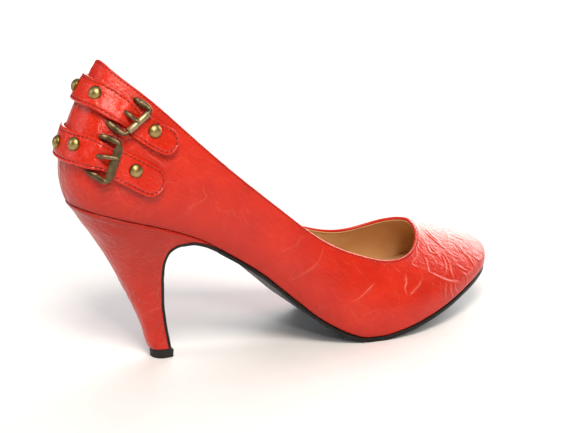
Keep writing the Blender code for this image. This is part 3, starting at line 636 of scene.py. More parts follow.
def studio_paper():
    """Matt white background paper."""
    made, tree, shader, where = start("white background paper", Roughness=0.9)
    fibre = add(tree, "ShaderNodeTexNoise", {"Vector": where, "Scale": 40.0, "Detail": 2.0})
    pulp = ramp(tree, fibre.outputs["Fac"], (0.3, "#e4e7eb"), (0.7, "#e7eaee"))
    tree.links.new(pulp, shader.inputs["Base Color"])
    return made


RED = coated_leather()
TAN = lining_leather()
SOLE_BLACK = edge_leather("black waxed sole leather", "#0a0a0a", "#151413", 0.46, 0.6)
RUBBER = edge_leather("black moulded rubber", "#121212", "#242423", 0.6, 0.4)
BRONZE = antiqued_metal("antiqued bronze plate", "#2b2317", "#75654a", "#b5a683", 0.40)
BRASS = antiqued_metal("antiqued brass plate", "#3a2e14", "#8a743f", "#c0aa76", 0.34)
RED_THREAD = sewing_thread("dark red thread", "#4a0c0a", "#7c1a14")
TAN_THREAD = sewing_thread("tan thread", "#8a6233", "#b98a52")


def rows_to_faces(rows, columns, around, closed):
    """Quads between rows of points: around joins the last column to the first, closed the last row."""
    r = np.arange(rows if closed else rows - 1)[:, None]
    c = np.arange(columns if around else columns - 1)[None, :]
    r2, c2 = (r + 1) % rows, (c + 1) % columns
    corners = [r * columns + c, r * columns + c2, r2 * columns + c2, r2 * columns + c]
    return np.stack(corners, -1).reshape(-1, 4)


def mesh_object(name, points, faces, finish, sharp=40, marks=None, weld=1e-6):
    """A plain mesh object at the origin, with outward faces, smooth but for edges sharper than given."""
    mesh = bpy.data.meshes.new(name)
    mesh.from_pydata([tuple(p) for p in points], [], [tuple(map(int, f)) for f in faces])
    for key, values in (marks or {}).items():
        layer = mesh.attributes.new(key, "FLOAT", "POINT")
        layer.data.foreach_set("value", np.asarray(values, np.float32))
    work = bmesh.new()
    work.from_mesh(mesh)
    bmesh.ops.remove_doubles(work, verts=work.verts, dist=weld)
    bmesh.ops.dissolve_degenerate(work, edges=work.edges, dist=weld)
    bmesh.ops.recalc_face_normals(work, faces=work.faces)
    finish_shading(work, sharp)
    work.to_mesh(mesh)
    work.free()
    mesh.materials.append(finish)
    made = bpy.data.objects.new(name, mesh)
    bpy.context.scene.collection.objects.link(made)
    return made


def finish_shading(work, sharp):
    """Smooth faces, with a hard edge wherever they meet at more than this many degrees."""
    for face in work.faces:
        face.smooth = True
    for edge in work.edges:
        if len(edge.link_faces) == 2 and edge.calc_face_angle(0.0) > math.radians(sharp):
            edge.smooth = False


def placed(piece, slot, *nodes):
    """Hangs a finished piece on the one body and hides the solids that it stands for."""
    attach(piece, "root")
    if nodes:
        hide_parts(*nodes)
    return piece


def ridges(points, size, power, seed):
    """Thin ridges where a soft noise crosses zero, 0 to 1, at a spacing of about this size in mm."""
    shift = Vector((seed * 3.1, seed * 1.7, seed * 2.3))
    scale = 1 / (size * MM)
    values = [1 - min(1.0, abs(noise.noise(Vector(p) * scale + shift)) * 2.2) for p in points]
    return np.array(values) ** power


def swells(points, size, seed):
    """Soft waves between -1 and 1."""
    shift = Vector((seed * 1.3, seed * 2.9, seed * 0.7))
    scale = 1 / (size * MM)
    return np.array([noise.noise(Vector(p) * scale + shift) for p in points])


def short_creases():
    """Short straight creases scattered with a fixed seed where the leather is crinkled, in two directions."""
    pick = np.random.default_rng(7)
    rows = []
    for count, rounds, ups, tall in (
        (95, (0.76, 0.995), (0.12, 0.97), 0.06),
        (26, (0.62, 0.78), (0.10, 0.97), 0.04),
        (60, (1.005, 1.24), (0.12, 0.97), 0.06),
        (20, (1.22, 1.38), (0.10, 0.97), 0.04),
        (16, (-0.20, 0.00), (0.10, 0.60), 0.08),
        (34, (0.00, 0.22), (0.06, 0.92), 0.09),
        (70, (0.20, 0.64), (0.06, 0.94), 0.05),
    ):
        for _ in range(count):
            s, t = pick.uniform(*rounds), pick.uniform(*ups)
            angle = math.radians(pick.choice([48.0, 118.0]) + pick.normal(0.0, 16.0))
            length = pick.uniform(4.0, 11.0) * MM
            _, round_it, up_it, _ = (v[0] for v in on_shell(s, t))
            ds = length * math.cos(angle) / np.linalg.norm(round_it)
            dt = length * math.sin(angle) / np.linalg.norm(up_it)
            ends = np.clip([t - dt / 2, t, t + dt / 2], 0.03, 0.97)
            bent = pick.normal(0.0, 0.06)
            middle = (s + bent * dt * np.linalg.norm(up_it) / np.linalg.norm(round_it), ends[1])
            places = (s - ds / 2, ends[0]), middle, (s + ds / 2, ends[2])
            rows.append((tall * pick.uniform(0.5, 1.3), 0.6, *places))
    return rows


def shell_creases():
    """Every crease of the upper as its height, width and line of points."""
    for tall, wide, *places in (*CREASES, *short_creases()):
        places = np.array(places)
        at = np.linspace(0, 1, 36 * len(places))
        knots = np.linspace(0, 1, len(places))
        s, t = (monotone(knots, column, at) for column in places.T)
        yield tall, wide, on_shell(s, t)[0]


def heel_creases(rings):
    """Short straight creases over the heel's sides, most of them slanting down to the front."""
    pick = np.random.default_rng(11)
    levels, around = len(rings), len(rings[0])
    for _ in range(HEEL_CREASES):
        level, place = pick.uniform(4, levels - 16), pick.uniform(6, around - 7)
        i, j = int(level), int(place)
        down = np.linalg.norm(rings[i + 1, j] - rings[i, j])
        over = np.linalg.norm(rings[i, j + 1] - rings[i, j])
        angle = math.radians(pick.choice([35.0, 75.0, 130.0], p=[0.5, 0.3, 0.2]) + pick.normal(0.0, 12.0))
        length = pick.uniform(3.0, 9.0) * MM
        rise = length * math.sin(angle) / down / 2
        run = math.copysign(length * math.cos(angle) / over / 2, around / 2 - place)
        share = np.linspace(-1, 1, 40)
        rows = np.clip(level + share * rise, 2, levels - 3)
        columns = np.clip(place + share * run, 1, around - 2)
        r, c = rows.astype(int), columns.astype(int)
        a, b = (rows - r)[:, None], (columns - c)[:, None]
        line = (1 - a) * ((1 - b) * rings[r, c] + b * rings[r, c + 1]) + a * (
            (1 - b) * rings[r + 1, c] + b * rings[r + 1, c + 1]
        )
        yield pick.uniform(0.06, 0.20), 0.6, line


def crease_relief(points, normals, creases):
    """The creases at each point: their height in metres, the signed distance to the nearest one in mm and
    how strong it is there."""
    height, strength = np.zeros(len(points)), np.zeros(len(points))
    nearest = np.full(len(points), 99.0)
    for tall, wide, line in creases:
        wide *= 0.75
        at = np.linspace(0, 1, len(line))
        middle = line.mean(0)
        reach = np.linalg.norm(line - middle, axis=1).max() + 5 * wide * MM
        near = np.where(np.linalg.norm(points - middle, axis=1) < reach)[0]
        if not len(near):
            continue
        gap = points[near][:, None, :] - line[None]
        away = np.linalg.norm(gap, axis=2)
        k = away.argmin(1)
        d = away.min(1) / (wide * MM)
        fade = np.sin(np.pi * np.clip(0.08 + 0.84 * at[k], 0, 1)) ** 0.6
        height[near] += tall * MM * fade * (1.3 * np.exp(-(d**2)) - 0.35 * np.exp(-((d / 2.6) ** 2)))
        ahead = np.gradient(line, axis=0)[k]
        turned = np.sign((np.cross(ahead, gap[np.arange(len(near)), k]) * normals[near]).sum(1))
        off = away.min(1) / MM
        closer = (off < np.abs(nearest[near])) & (off < 3.0)
        chosen = near[closer]
        nearest[chosen] = (turned * off)[closer]
        ends = smooth(np.minimum(at, 1 - at)[k] / 0.25)
        power = np.clip(tall / 0.30, 0.10, 1.0) * ends * smooth((1.7 - off) / 0.7)
        strength[chosen] = power[closer]
    return height, nearest, strength


def loop_places(count):
    """Places round the loop, closer over the toe."""
    fine = np.linspace(0, 2, 4001)
    weight = 1 + 1.3 * smooth((fine - 0.60) / 0.1) * smooth((1.40 - fine) / 0.1)
    run = np.concatenate([[0], np.cumsum((weight[1:] + weight[:-1]) / 2)])
    return np.interp(np.arange(count) / count, run / run[-1], fine)


def crinkle_at(s, t):
    """How crinkled the leather is: most on the counter, half over the toe, hardly on the quarter."""
    toe = np.minimum(s, 2 - s)
    over_toe = 0.36 * smooth((toe - 0.64) / 0.18) * (0.35 + 0.65 * smooth(t / 0.35))
    counter = 0.70 * smooth((0.26 - toe) / 0.12)
    return np.clip(over_toe + counter + 0.13, 0, 1)


def rim_profile(down):
    """The folded topline in mm: a bead along the edge and the groove that the stitches pull in."""
    bead = 0.07 * np.exp(-(((down - 0.6) / 0.5) ** 2))
    groove = 0.20 * np.exp(-(((down - TOPLINE_STITCH) / 0.24) ** 2))
    return bead - groove


def build_shell():
    """The red outer leather, turned in at the feather line and folded over at the topline."""
    count = 860
    s = loop_places(count)
    length = rib_runs(s)[1][:, -1]
    near_top = np.arange(0.8, 3.01, 0.157) * MM
    near_foot = np.array([1.2, 0.8, 0.45, 0.2, 0.03]) * MM
    middle = 70
    share = np.arange(1, middle + 1) / (middle + 1)
    down = np.concatenate(
        [
            np.broadcast_to(near_top, (count, len(near_top))),
            near_top[-1] + (length - near_top[-1] - near_foot[0])[:, None] * share,
            length[:, None] - near_foot,
        ],
        axis=1,
    )
    t = t_below(s, down)
    points, _, _, normal = shell_at(s, t)
    flat = points.reshape(-1, 3)
    places = np.broadcast_to(s[:, None], t.shape).ravel()
    crinkle = crinkle_at(places, t.ravel())
    lift, crease, crease_amount = crease_relief(flat, normal.reshape(-1, 3), shell_creases())
    crumple = 0.10 * ridges(flat, 7.0, 4, 1) + 0.20 * swells(flat, 5.0, 2)
    calm = smooth((down.ravel() - 2.4 * MM) / (3 * MM)) * smooth((length[:, None] - down).ravel() / (2 * MM))
    lift += crinkle * crumple * MM * calm + 0.16 * MM * swells(flat, 13.0, 3) * calm
    seam = np.exp(-((np.minimum(places, 2 - places) * HALF_WAY_ROUND / SEAM_WIDTH) ** 2))
    lift -= SEAM_DEPTH * seam * smooth(down.ravel() / (1 * MM))
    # paler crease ridges: partly wear, partly a painted highlight of the light on them
    wear_and_highlight = np.clip(lift / (0.34 * MM) - 0.25, 0, 1) * 0.55 * calm
    lift += rim_profile(down.ravel() / MM) * MM
    from_foot = (length[:, None] - down).ravel()
    lift -= 0.38 * MM * np.clip(1 - from_foot / (1.2 * MM), 0, 1) ** 2
    outside = points + normal * lift.reshape(t.shape)[..., None]

    # the fold over the topline
    top, _, top_up, top_out = (v[:, 0] for v in shell_at(s, np.ones((count, 1))))
    rise = unit(top_up)
    radius = WALL / 2
    centre = top - rise * radius - top_out * radius
    fold = []
    for angle in np.radians(np.arange(150, 0, -30)):
        grown = radius + 0.07 * MM * math.cos(angle / 2) ** 2
        fold.append(centre + grown * (math.cos(angle) * top_out + math.sin(angle) * rise))
    inside = []
    for depth, back in ((0.9, 1.6), (1.7, 1.6), (2.6, 1.2)):
        p, _, _, n = (v[:, 0] for v in shell_at(s, t_below(s, np.full((count, 1), depth * MM))))
        inside.append(p - n * back * MM)
    # the back of the leather, down to the margin turned under the last
    back = []
    for share in (0.25, 0.5, 0.75, 1.0):
        below = 2.6 * MM + (length - 2.6 * MM - 0.8 * MM) * share
        p, _, _, n = (v[:, 0] for v in shell_at(s, t_below(s, below[:, None])))
        back.append(p - n * 1.2 * MM)
    foot, _, _, foot_out = (v[:, 0] for v in shell_at(s, np.zeros((count, 1))))
    flat_out = unit(foot_out * np.array([1.0, 1.0, 0.0]))
    margin = [foot - flat_out * 1.2 * MM + [0, 0, 0.5 * MM], foot - flat_out * 0.9 * MM + [0, 0, 0.05 * MM]]

    rows = [outside[:, j] for j in range(outside.shape[1])]
    loop = rows + margin[::-1] + back[::-1] + inside[::-1] + fold
    toe_side = smooth((np.minimum(places, 2 - places) - 0.46) / 0.22)
    # each mark on the outside, and its value on the fold and the back of the leather
    marks = {}
    for key, values, elsewhere in (
        ("crinkle", crinkle * (0.3 + 0.7 * calm), 0.15),
        ("wear_and_highlight", wear_and_highlight, 0.0),
        # painted shade: the upper darkens towards the feather line, less over the toe
        ("painted_shade", 0.55 * np.exp(-from_foot / (15 * MM)) * (1 - 0.75 * toe_side), 0.0),
        ("crease", crease, 9.0),
        ("crease_amount", crease_amount * calm, 0.0),
    ):
        marks[key] = np.full(count * len(loop), elsewhere)
        marks[key][: values.size] = values.reshape(t.shape).T.ravel()
    faces = rows_to_faces(len(loop), count, True, True)
    shell = mesh_object("outer_leather", np.vstack(loop), faces, RED, sharp=70, marks=marks)
    return placed(shell, "upper", "upper")


def build_lining():
    """The tan lining: its cut edge just under the fold, a stitch row, and down to the insole."""
    count = 420
    s = np.arange(count) * 2.0 / count
    length = rib_runs(s)[1][:, -1]
    rows = []

    def row(depth, back):
        p, _, _, n = (v[:, 0] for v in shell_at(s, t_below(s, depth[:, None])))
        return p - n * (np.asarray(back) * MM).reshape(-1, 1)

    edge = (1.6, 1.62), (0.8, 1.62), (0.60, 1.68), (0.57, 1.80), (0.65, 1.93), (0.82, 2.0)
    for depth, back in edge:
        rows.append(row(np.full(count, depth * MM), back))
    for depth in np.arange(1.0, 4.4, 0.2):
        groove = 0.22 * math.exp(-(((depth - LINING_STITCH) / 0.35) ** 2))
        rows.append(row(np.full(count, depth * MM), 2.02 - groove))
    steps = 40
    for k in range(1, steps + 1):
        depth = 4.4 * MM + (length - 5.2 * MM) * k / steps
        plain = row(depth, 2.02)
        puff = swells(plain, 15.0, 8) * 0.3 + 0.12 * ridges(plain, 9.0, 4, 9)
        rows.append(row(depth, 2.02 + puff * smooth(k / 4)))
    for k in (1.0, 0.66, 0.33):
        rows.append(row(1.6 * MM + (length - 2.4 * MM) * k, 1.64))
    faces = rows_to_faces(len(rows), count, True, True)
    lining = mesh_object("lining", np.vstack(rows), faces, TAN, sharp=60)
    return placed(lining, "insole", "upper")


def sole_outline(inset):
    """The feather line moved inwards: its two sides as (x, y) rows."""
    s = np.linspace(0.0, 2.0, 2401)[:-1]
    point = rib_points(s)[0][:, :2]
    ahead = rib_points(s + 1e-3)[0][:, :2] - rib_points(s - 1e-3)[0][:, :2]
    away = unit(np.column_stack([ahead[:, 1], -ahead[:, 0]]))
    point = point - inset * away
    back, tip = point[:, 0].argmin(), point[:, 0].argmax()
    loop = np.roll(point, -back, axis=0)
    tip = (tip - back) % len(s)
    return loop[: tip + 1], np.vstack([loop[:1], loop[tip:][::-1]])


def across(sides, x):
    """Where the two sides of an outline are at this x."""
    return [float(np.interp(x, side[:, 0], side[:, 1])) for side in sides]


def feather_at(x, sign):
    """The place on the loop whose feather point has this x, at the outer (-1) or inner (+1) side."""
    low, high = (0.0, 1.0) if sign < 0 else (1.0, 2.0)
    for _ in range(40):
        middle = (low + high) / 2
        beyond = rib_points(middle)[0][0][0] > x
        if beyond == (sign < 0):
            high = middle
        else:
            low = middle
    return (low + high) / 2


def rounded_ring(corners, radius, flat_steps):
    """A four-cornered section with its corners rounded, as points; its second and fourth sides are short."""
    corners = [np.array(c, float) for c in corners]
    ring = []
    for i in range(4):
        before, here, after = corners[i - 1], corners[i], corners[(i + 1) % 4]
        reach = [min(radius, 0.48 * np.linalg.norm(other - here)) for other in (before, after)]
        enter = here + (before - here) / max(np.linalg.norm(before - here), 1e-9) * reach[0]
        leave = here + (after - here) / max(np.linalg.norm(after - here), 1e-9) * reach[1]
        for u in (0.0, 0.25, 0.5, 0.75, 1.0):
            ring.append((1 - u) ** 2 * enter + 2 * u * (1 - u) * here + u * u * leave)
        if i % 2 == 0:
            other = corners[(i + 1) % 4]
            next_enter = other + (here - other) / max(np.linalg.norm(here - other), 1e-9) * min(
                radius, 0.48 * np.linalg.norm(here - other)
            )
            for k in range(1, flat_steps):
                ring.append(leave + (next_enter - leave) * k / flat_steps)
    return ring


def capped(rings):
    """Points and faces of a loft through rings, capped by a face at each end."""
    count, size = len(rings), len(rings[0])
    faces = [tuple(f) for f in rows_to_faces(count, size, True, False)]
    faces.append(tuple(reversed(range(size))))
    faces.append(tuple((count - 1) * size + j for j in range(size)))
    return np.vstack(rings), faces


def build_insole():
    """The sock on the insole board, covered in the lining leather and soft at its edge."""
    sides = sole_outline(WALL + 0.55 * MM)
    back, tip = sides[0][0, 0] + 0.0001, sides[0][-1, 0] - 0.0001
    rings = []
    for k in range(161):
        share = k / 160
        x = back + (tip - back) * (0.5 - 0.5 * math.cos(math.pi * share)) ** 0.9
        left, right = across(sides, x)
        low = float(underside(x)) + SOLE_THICKNESS + GAP
        high = low + INSOLE_THICKNESS
        section = [(x, left, high), (x, right, high), (x, right, low), (x, left, low)]
        rings.append(rounded_ring(section, 0.9 * MM, 10))
    points, faces = capped(rings)
    return placed(mesh_object("insole_sock", points, faces, TAN, sharp=60), "insole", "insole")


def breast_line(count):
    """The sole's tail down the heel breast: its outer line, its line on the heel and the way in."""
    table = np.array(BREAST) * SEAT_HEIGHT
    table[0, 1] = underside(table[0, 0])
    run = np.concatenate([[0], np.cumsum(np.hypot(*np.diff(table, axis=0).T))])
    at = np.linspace(0, run[-1], count)
    line = np.column_stack([monotone(run, table[:, 0], at), monotone(run, table[:, 1], at)])
    turn = unit(np.gradient(line, axis=0))
    inward = np.column_stack([turn[:, 1], -turn[:, 0]])
    thick = FLAP_THICKNESS + (SHANK_THICKNESS - FLAP_THICKNESS) * (1 - smooth(4 * at / run[-1]))
    face = line + inward * thick[:, None]
    face[-1, 1] = line[-1, 1]
    return line, face, inward


def heel_rings():
    """Rings of the heel block from above the seat down to the lift, with their leather's relief."""
    front = BREAST[0][0] * SEAT_HEIGHT
    seat = rib_points(np.linspace(feather_at(front, 1), feather_at(front, -1) + 2.0, 151))[0]
    back_x, back_z = SEAT_BACK, underside(SEAT_BACK) + SOLE_THICKNESS + GAP
    table = np.array(HEEL_LEVELS)
    run = np.concatenate([[0], np.cumsum(np.hypot(np.diff(table[:, 0]), np.diff(table[:, 1])))])
    fine = run[1] + np.array([0.0, 0.003, 0.006, 0.010, 0.015])
    at = np.concatenate([[0.0], fine, np.linspace(run[1] + 0.025, run[-1], 90)])
    rings = []
    for x, z, length, width, tilt in zip(*(monotone(run, column, at) for column in table.T)):
        ring = np.empty_like(seat)
        ring[:, 0] = x * SEAT_HEIGHT + (seat[:, 0] - back_x) * length
        ring[:, 1] = seat[:, 1] * width
        ring[:, 2] = z * SEAT_HEIGHT + (seat[:, 2] - back_z) * length * tilt
        rings.append(ring)
    rings = np.array(rings)
    turn = np.gradient(rings, axis=1)
    fall = np.gradient(rings, axis=0)
    out = unit(np.cross(fall, turn))
    out *= np.sign((out * (rings - rings.mean(1, keepdims=True))).sum(-1).mean())
    flat = rings.reshape(-1, 3)
    seat_depth = (underside(flat[:, 0]) + SOLE_THICKNESS - flat[:, 2]) / MM
    calm = smooth((seat_depth - 0.3) / 3) * smooth((flat[:, 2] / MM - 4.5) / 4)
    lean = flat * np.array([1.0, 1.0, 0.45])
    lift = (0.06 * ridges(lean, 7.0, 6, 4) + 0.14 * swells(flat, 9.0, 5)) * calm
    lift -= 0.50 * np.clip(1 - np.clip(seat_depth, 0, None) / 1.5, 0, 1) ** 2
    tall, crease, amount = crease_relief(flat, out.reshape(-1, 3), heel_creases(rings))
    lift += tall / MM * calm
    moved = rings + out * (lift * MM).reshape(rings.shape[:2])[..., None]
    return moved, crease, amount * calm


def cutter_of(outline):
    """A block across the heel with this outline in x and z."""
    outline = np.asarray(outline)
    sides = -CUTTER_HALF, CUTTER_HALF
    rings = [np.column_stack([outline[:, 0], np.full(len(outline), y), outline[:, 1]]) for y in sides]
    points, faces = capped(rings)
    return mesh_object("cutter", points, faces, RED)


def cut(target, cutter):
    """Takes the cutter away from the piece for good."""
    step = target.modifiers.new("cut", "BOOLEAN")
    step.operation = "DIFFERENCE"
    step.solver = "EXACT"
    step.object = cutter
    shaped = bpy.data.meshes.new_from_object(target.evaluated_get(bpy.context.evaluated_depsgraph_get()))
    target.modifiers.clear()
    target.data = shaped
    bpy.data.objects.remove(cutter)


def build_heel():
    """The heel block in its red cover, cut to the seat above and to the breast in front."""
    rings, crease, amount = heel_rings()
    points, faces = capped(list(rings))
    depth = np.clip(underside(points[:, 0]) + SOLE_THICKNESS - points[:, 2], 0, None) / MM
    # painted shade: the cover is darkened all over, more towards its top under the seat and most at the seam
    # under the upper
    painted_shade = 0.08 + 0.42 * points[:, 2] / SEAT_HEIGHT + 0.25 * np.exp(-depth / 3)
    crinkle = np.full(len(points), 0.9)
    marks = {"crinkle": crinkle, "painted_shade": painted_shade, "crease": crease, "crease_amount": amount}
    heel = mesh_object("heel_cover", points, faces, RED, sharp=35, marks=marks)
    x = np.linspace(SEAT_BACK - CUTTER_REACH, 2 * CUTTER_REACH, 61)
    top = np.column_stack([x, underside(x) + SOLE_THICKNESS])
    cut(heel, cutter_of(np.vstack([top, [(x[-1], CUTTER_TOP), (x[0], CUTTER_TOP)]])))
    _, face, inward = breast_line(60)
    face = face + inward * GAP * 0.3
    low = face[-1, 1] - CUTTER_REACH
    ahead = [(face[-1, 0], low), (CUTTER_FRONT, low), (CUTTER_FRONT, face[0, 1] - 2 * MM)]
    cut(heel, cutter_of(np.vstack([face, ahead])))
    work = bmesh.new()
    work.from_mesh(heel.data)
    finish_shading(work, 35)
    work.to_mesh(heel.data)
    work.free()
    return placed(heel, "heel_cover", "heel")


def build_outsole():
    """The black sole from the tip to the shank and on down the heel breast to the lift."""
    front = BREAST[0][0] * SEAT_HEIGHT
    sides = sole_outline(-0.05 * MM)
    tip = sides[0][-1, 0] - 0.00002
    rings = []
    steps = 150
    for k in range(steps + 1):
        share = 1 - k / steps
        x = front + (tip - front) * (0.35 * share + 0.65 * math.sin(math.pi / 2 * share))
        left, right = across(sides, x)
        low = float(underside(x))
        high = low + SOLE_THICKNESS
        section = [(x, left, high), (x, right, high), (x, right, low), (x, left, low)]
        rings.append(rounded_ring(section, 0.55 * MM, 10))
    block, faces = capped(list(heel_rings()[0]))
    shape = BVHTree.FromPolygons([tuple(p) for p in block], faces)
    line, face, _ = breast_line(90)
    for (x, z), (face_x, face_z) in list(zip(line, face))[1:]:
        found = []
        for sign in (-1, 1):
            hit = shape.ray_cast(Vector((face_x, sign * 0.08, face_z)), Vector((0, -sign, 0)))[0]
            found.append(hit[1] if hit else sign * LIFT_WIDTH / 2)
        left, right = found
        section = [(face_x, left, face_z), (face_x, right, face_z), (x, right, z), (x, left, z)]
        rings.append(rounded_ring(section, 0.35 * MM, 10))
    points, faces = capped(rings)
    return placed(mesh_object("black_sole", points, faces, SOLE_BLACK, sharp=50), "outsole", "outsole")


# The heel lift's rings in mm: height, how much wider than the lift, how far its edge is broken
LIFT_RINGS = (
    (0, 1, 0.3), (0.08, 1, 0.1), (0.3, 1.0, 0), (2.2, 1.03, 0), (3.8, 1.055, 0), (4.05, 1.06, 0.1),
    (4.2, 1.06, 0.35),
)


def build_lift():
    """The heel's moulded top piece: round at the back, straight at the breast, its edges just broken."""
    radius = LIFT_WIDTH / 2
    outline = [(LIFT_LENGTH / 2, y * radius) for y in np.linspace(-1, 1, 9)]
    for i in range(49):
        angle = math.pi / 2 + math.pi * i / 48
        outline.append((radius - LIFT_LENGTH / 2 + radius * math.cos(angle), radius * math.sin(angle)))
    outline = np.array(outline)
    rings = []
    for z, grow, inset in LIFT_RINGS:
        shrink = 1 - inset * MM / radius
        rings.append(np.column_stack([outline * grow * shrink, np.full(len(outline), z * MM)]))
    points, faces = capped(rings)
    return placed(mesh_object("top_piece", points, faces, RUBBER, sharp=50), "heel_lift", "heel_lift")


class Band:
    """A strap's centre line on the upper: distances along it run from the middle of the back."""

    def __init__(self, line):
        table = np.array(line)
        along, height = SEAT_BACK + table[:, 0] * SOLE_LENGTH, table[:, 1] * COLLAR_HEIGHT
        s = np.linspace(-0.42, 0.42, 421)
        low, high = np.zeros(len(s)), np.ones(len(s))
        for _ in range(40):
            middle = (low + high) / 2
            point = on_shell(s, middle)[0]
            above = point[:, 2] > monotone(along, height, np.clip(point[:, 0], along[0], along[-1]))
            high = np.where(above, middle, high)
            low = np.where(above, low, middle)
        t = (low + high) / 2
        point = on_shell(s, t)[0]
        run = np.concatenate([[0], np.cumsum(np.linalg.norm(np.diff(point, axis=0), axis=1))])
        self.run = run - np.interp(0.0, s, run)
        self.s, self.t = s, t

    def place(self, distance, aside):
        """Points, along, side and outward directions on the upper, at distances along and to the side."""
        distance, aside = np.atleast_1d(distance).astype(float), np.atleast_1d(aside).astype(float)
        distance, aside = np.broadcast_arrays(distance, aside)

        def centre(d):
            return np.interp(d, self.run, self.s), np.interp(d, self.run, self.t)

        ahead = unit(on_shell(*centre(distance + MM))[0] - on_shell(*centre(distance - MM))[0])
        s, t = centre(distance)
        point, _, _, normal = on_shell(s, t)
        side = np.cross(normal, ahead)
        goal = point + side * aside[:, None]
        for _ in range(4):
            point, round_it, up_it, _ = on_shell(s, t)
            off = goal - point
            a, b, c = ((p * q).sum(1) for p, q in ((round_it, round_it), (round_it, up_it), (up_it, up_it)))
            d, e = (round_it * off).sum(1), (up_it * off).sum(1)
            room = a * c - b * b
            s, t = s + (c * d - b * e) / room, t + (a * e - b * d) / room
        point, _, _, normal = on_shell(s, t)
        return point, ahead, side, normal

    def over(self, distance, aside, height):
        """Points at a height over the upper, distances and heights in metres."""
        point, _, _, out = self.place(distance, aside)
        return point + out * np.broadcast_to(height, len(point))[:, None]


def strap_lift(distance, hinge):
    """How far the strap stands off the upper: it rises over the buckle's hinge bar."""
    return GAP + (2 * HINGE_ROD + 2.5 * GAP) * np.exp(-(((distance - hinge) / HINGE_RISE) ** 2))


def stadium(start, end, half, step):
    """The round-ended outline of a strap: places on its middle line and directions out to the edge."""
    straight = end - start - 2 * half
    count = max(8, round(straight / step))
    turns = max(8, round(math.pi * half / step))
    middle, out = [], []
    for k in range(count):
        middle.append(start + half + straight * k / count)
        out.append((0.0, 1.0))
    for k in range(turns):
        angle = math.pi / 2 - math.pi * k / turns
        middle.append(end - half)
        out.append((math.cos(angle), math.sin(angle)))
    for k in range(count):
        middle.append(end - half - straight * k / count)
        out.append((0.0, -1.0))
    for k in range(turns):
        angle = -math.pi / 2 - math.pi * k / turns
        middle.append(start + half)
        out.append((math.cos(angle), math.sin(angle)))
    return np.array(middle), np.array(out)


# The strap's section from the middle of its underside round its edge to the middle of its face: distance
# in from the edge and height, in mm
STRAP_SECTION = (
    (99.0, 0.0), (3.0, 0.0), (0.5, 0.0), (0.10, 0.10), (0.0, 0.35), (-0.03, 0.80), (0.0, 1.25),
    (0.10, 1.55), (0.28, 1.76), (0.50, 1.86), (0.75, 1.90), (0.95, 1.86), (1.12, 1.76), (1.26, 1.64),
    (1.40, 1.58), (1.54, 1.64), (1.70, 1.75), (1.9, 1.85), (2.2, 1.93), (2.7, 1.98), (3.2, 2.0),
    (4.0, 2.0), (5.0, 2.02),
    (99.0, 2.02),
)


def pinched(distance, hinge):
    """How much of its width the strap keeps: less in the buckle, all of it again past the end bar."""
    into = smooth((distance - hinge + 5 * MM) / (BUCKLE_REACH + 4 * MM))
    past = smooth((distance - hinge - BUCKLE_REACH - 0.2 * MM) / (1.0 * MM))
    return 1 - STRAP_PINCH * into * (1 - past)


def stand_off(distance, aside, half, hinge):
    """The flat band over the round counter: its lower edge stands away, most of all before the buckle."""
    lower = smooth((0.3 - aside / half) / 1.3)
    back = smooth((distance + 34 * MM) / (16 * MM))
    before = 0.5 * back + 0.9 * smooth((distance - 1 * MM) / (8 * MM))
    before = before * smooth((hinge - distance) / (6 * MM))
    after = smooth((distance - hinge - BUCKLE_REACH - 3 * MM) / (5 * MM))
    return lower * (before + 0.9 * after) * MM


def build_strap(name, band, half, start, end, hinge):
    """A strap of turned-edge leather: a corded edge, a sunk stitch row and a V cut open for the prong."""
    step = 0.34 * MM
    middle, out = stadium(start, end, half, step)
    count = len(middle)
    rows = []
    for inset, height in STRAP_SECTION:
        reach = half - min(inset * MM, half)
        distance = middle + out[:, 0] * reach
        aside = out[:, 1] * reach * pinched(distance, hinge)
        tall = np.full(count, height * MM)
        if height > 1.3:
            # the V opens from the prong's root to the end bar and shows the layer below
            ahead = (distance - hinge + 0.6 * MM) / BUCKLE_REACH
            inside = np.clip((ahead * V_HALF_WIDTH * MM - np.abs(aside)) / (0.5 * MM), 0, 1)
            tall -= V_DEPTH * MM * smooth(inside * ((ahead > 0) & (ahead < 1.0)))
        rows.append((distance, aside, tall))
    distance, aside, tall = (np.concatenate([row[i] for row in rows]) for i in range(3))
    point, _, _, normal = band.place(distance, aside)
    # painted shade: the strap's underside and the lower part of its edge, up to about 0.9 mm, are darkened
    painted_shade = 0.9 * smooth((0.9 - tall / MM) / 0.5)
    face = smooth((tall / MM - 1.0) / 0.5)
    relief = 0.14 * swells(point, 8.0, 11) + 0.05 * ridges(point, 6.0, 6, 12)
    tall = tall + strap_lift(distance, hinge) + relief * MM * face + stand_off(distance, aside, half, hinge)
    marks = {
        "crinkle": np.full(len(point), 0.70),
        "painted_shade": painted_shade,
        "crease": np.full(len(point), 9.0),
    }
    points = point + normal * tall[:, None]
    faces = rows_to_faces(len(rows), count, True, False)
    made = mesh_object(name + "_strap_leather", points, faces, RED, sharp=60, marks=marks, weld=2e-5)
    return placed(made, "strap", name + "_strap")


def strap_stitch_path(band, half, start, end, hinge):
    """The stitch row just inside the strap's corded edge."""
    middle, out = stadium(start, end, half, 0.3 * MM)
    reach = half - STRAP_STITCH * MM
    distance = middle + out[:, 0] * reach
    aside = out[:, 1] * reach * pinched(distance, hinge)
    point, _, _, normal = band.place(distance, aside)
    lift = strap_lift(distance, hinge) + stand_off(distance, aside, half, hinge) + 1.66 * MM
    return point + normal * lift[:, None]


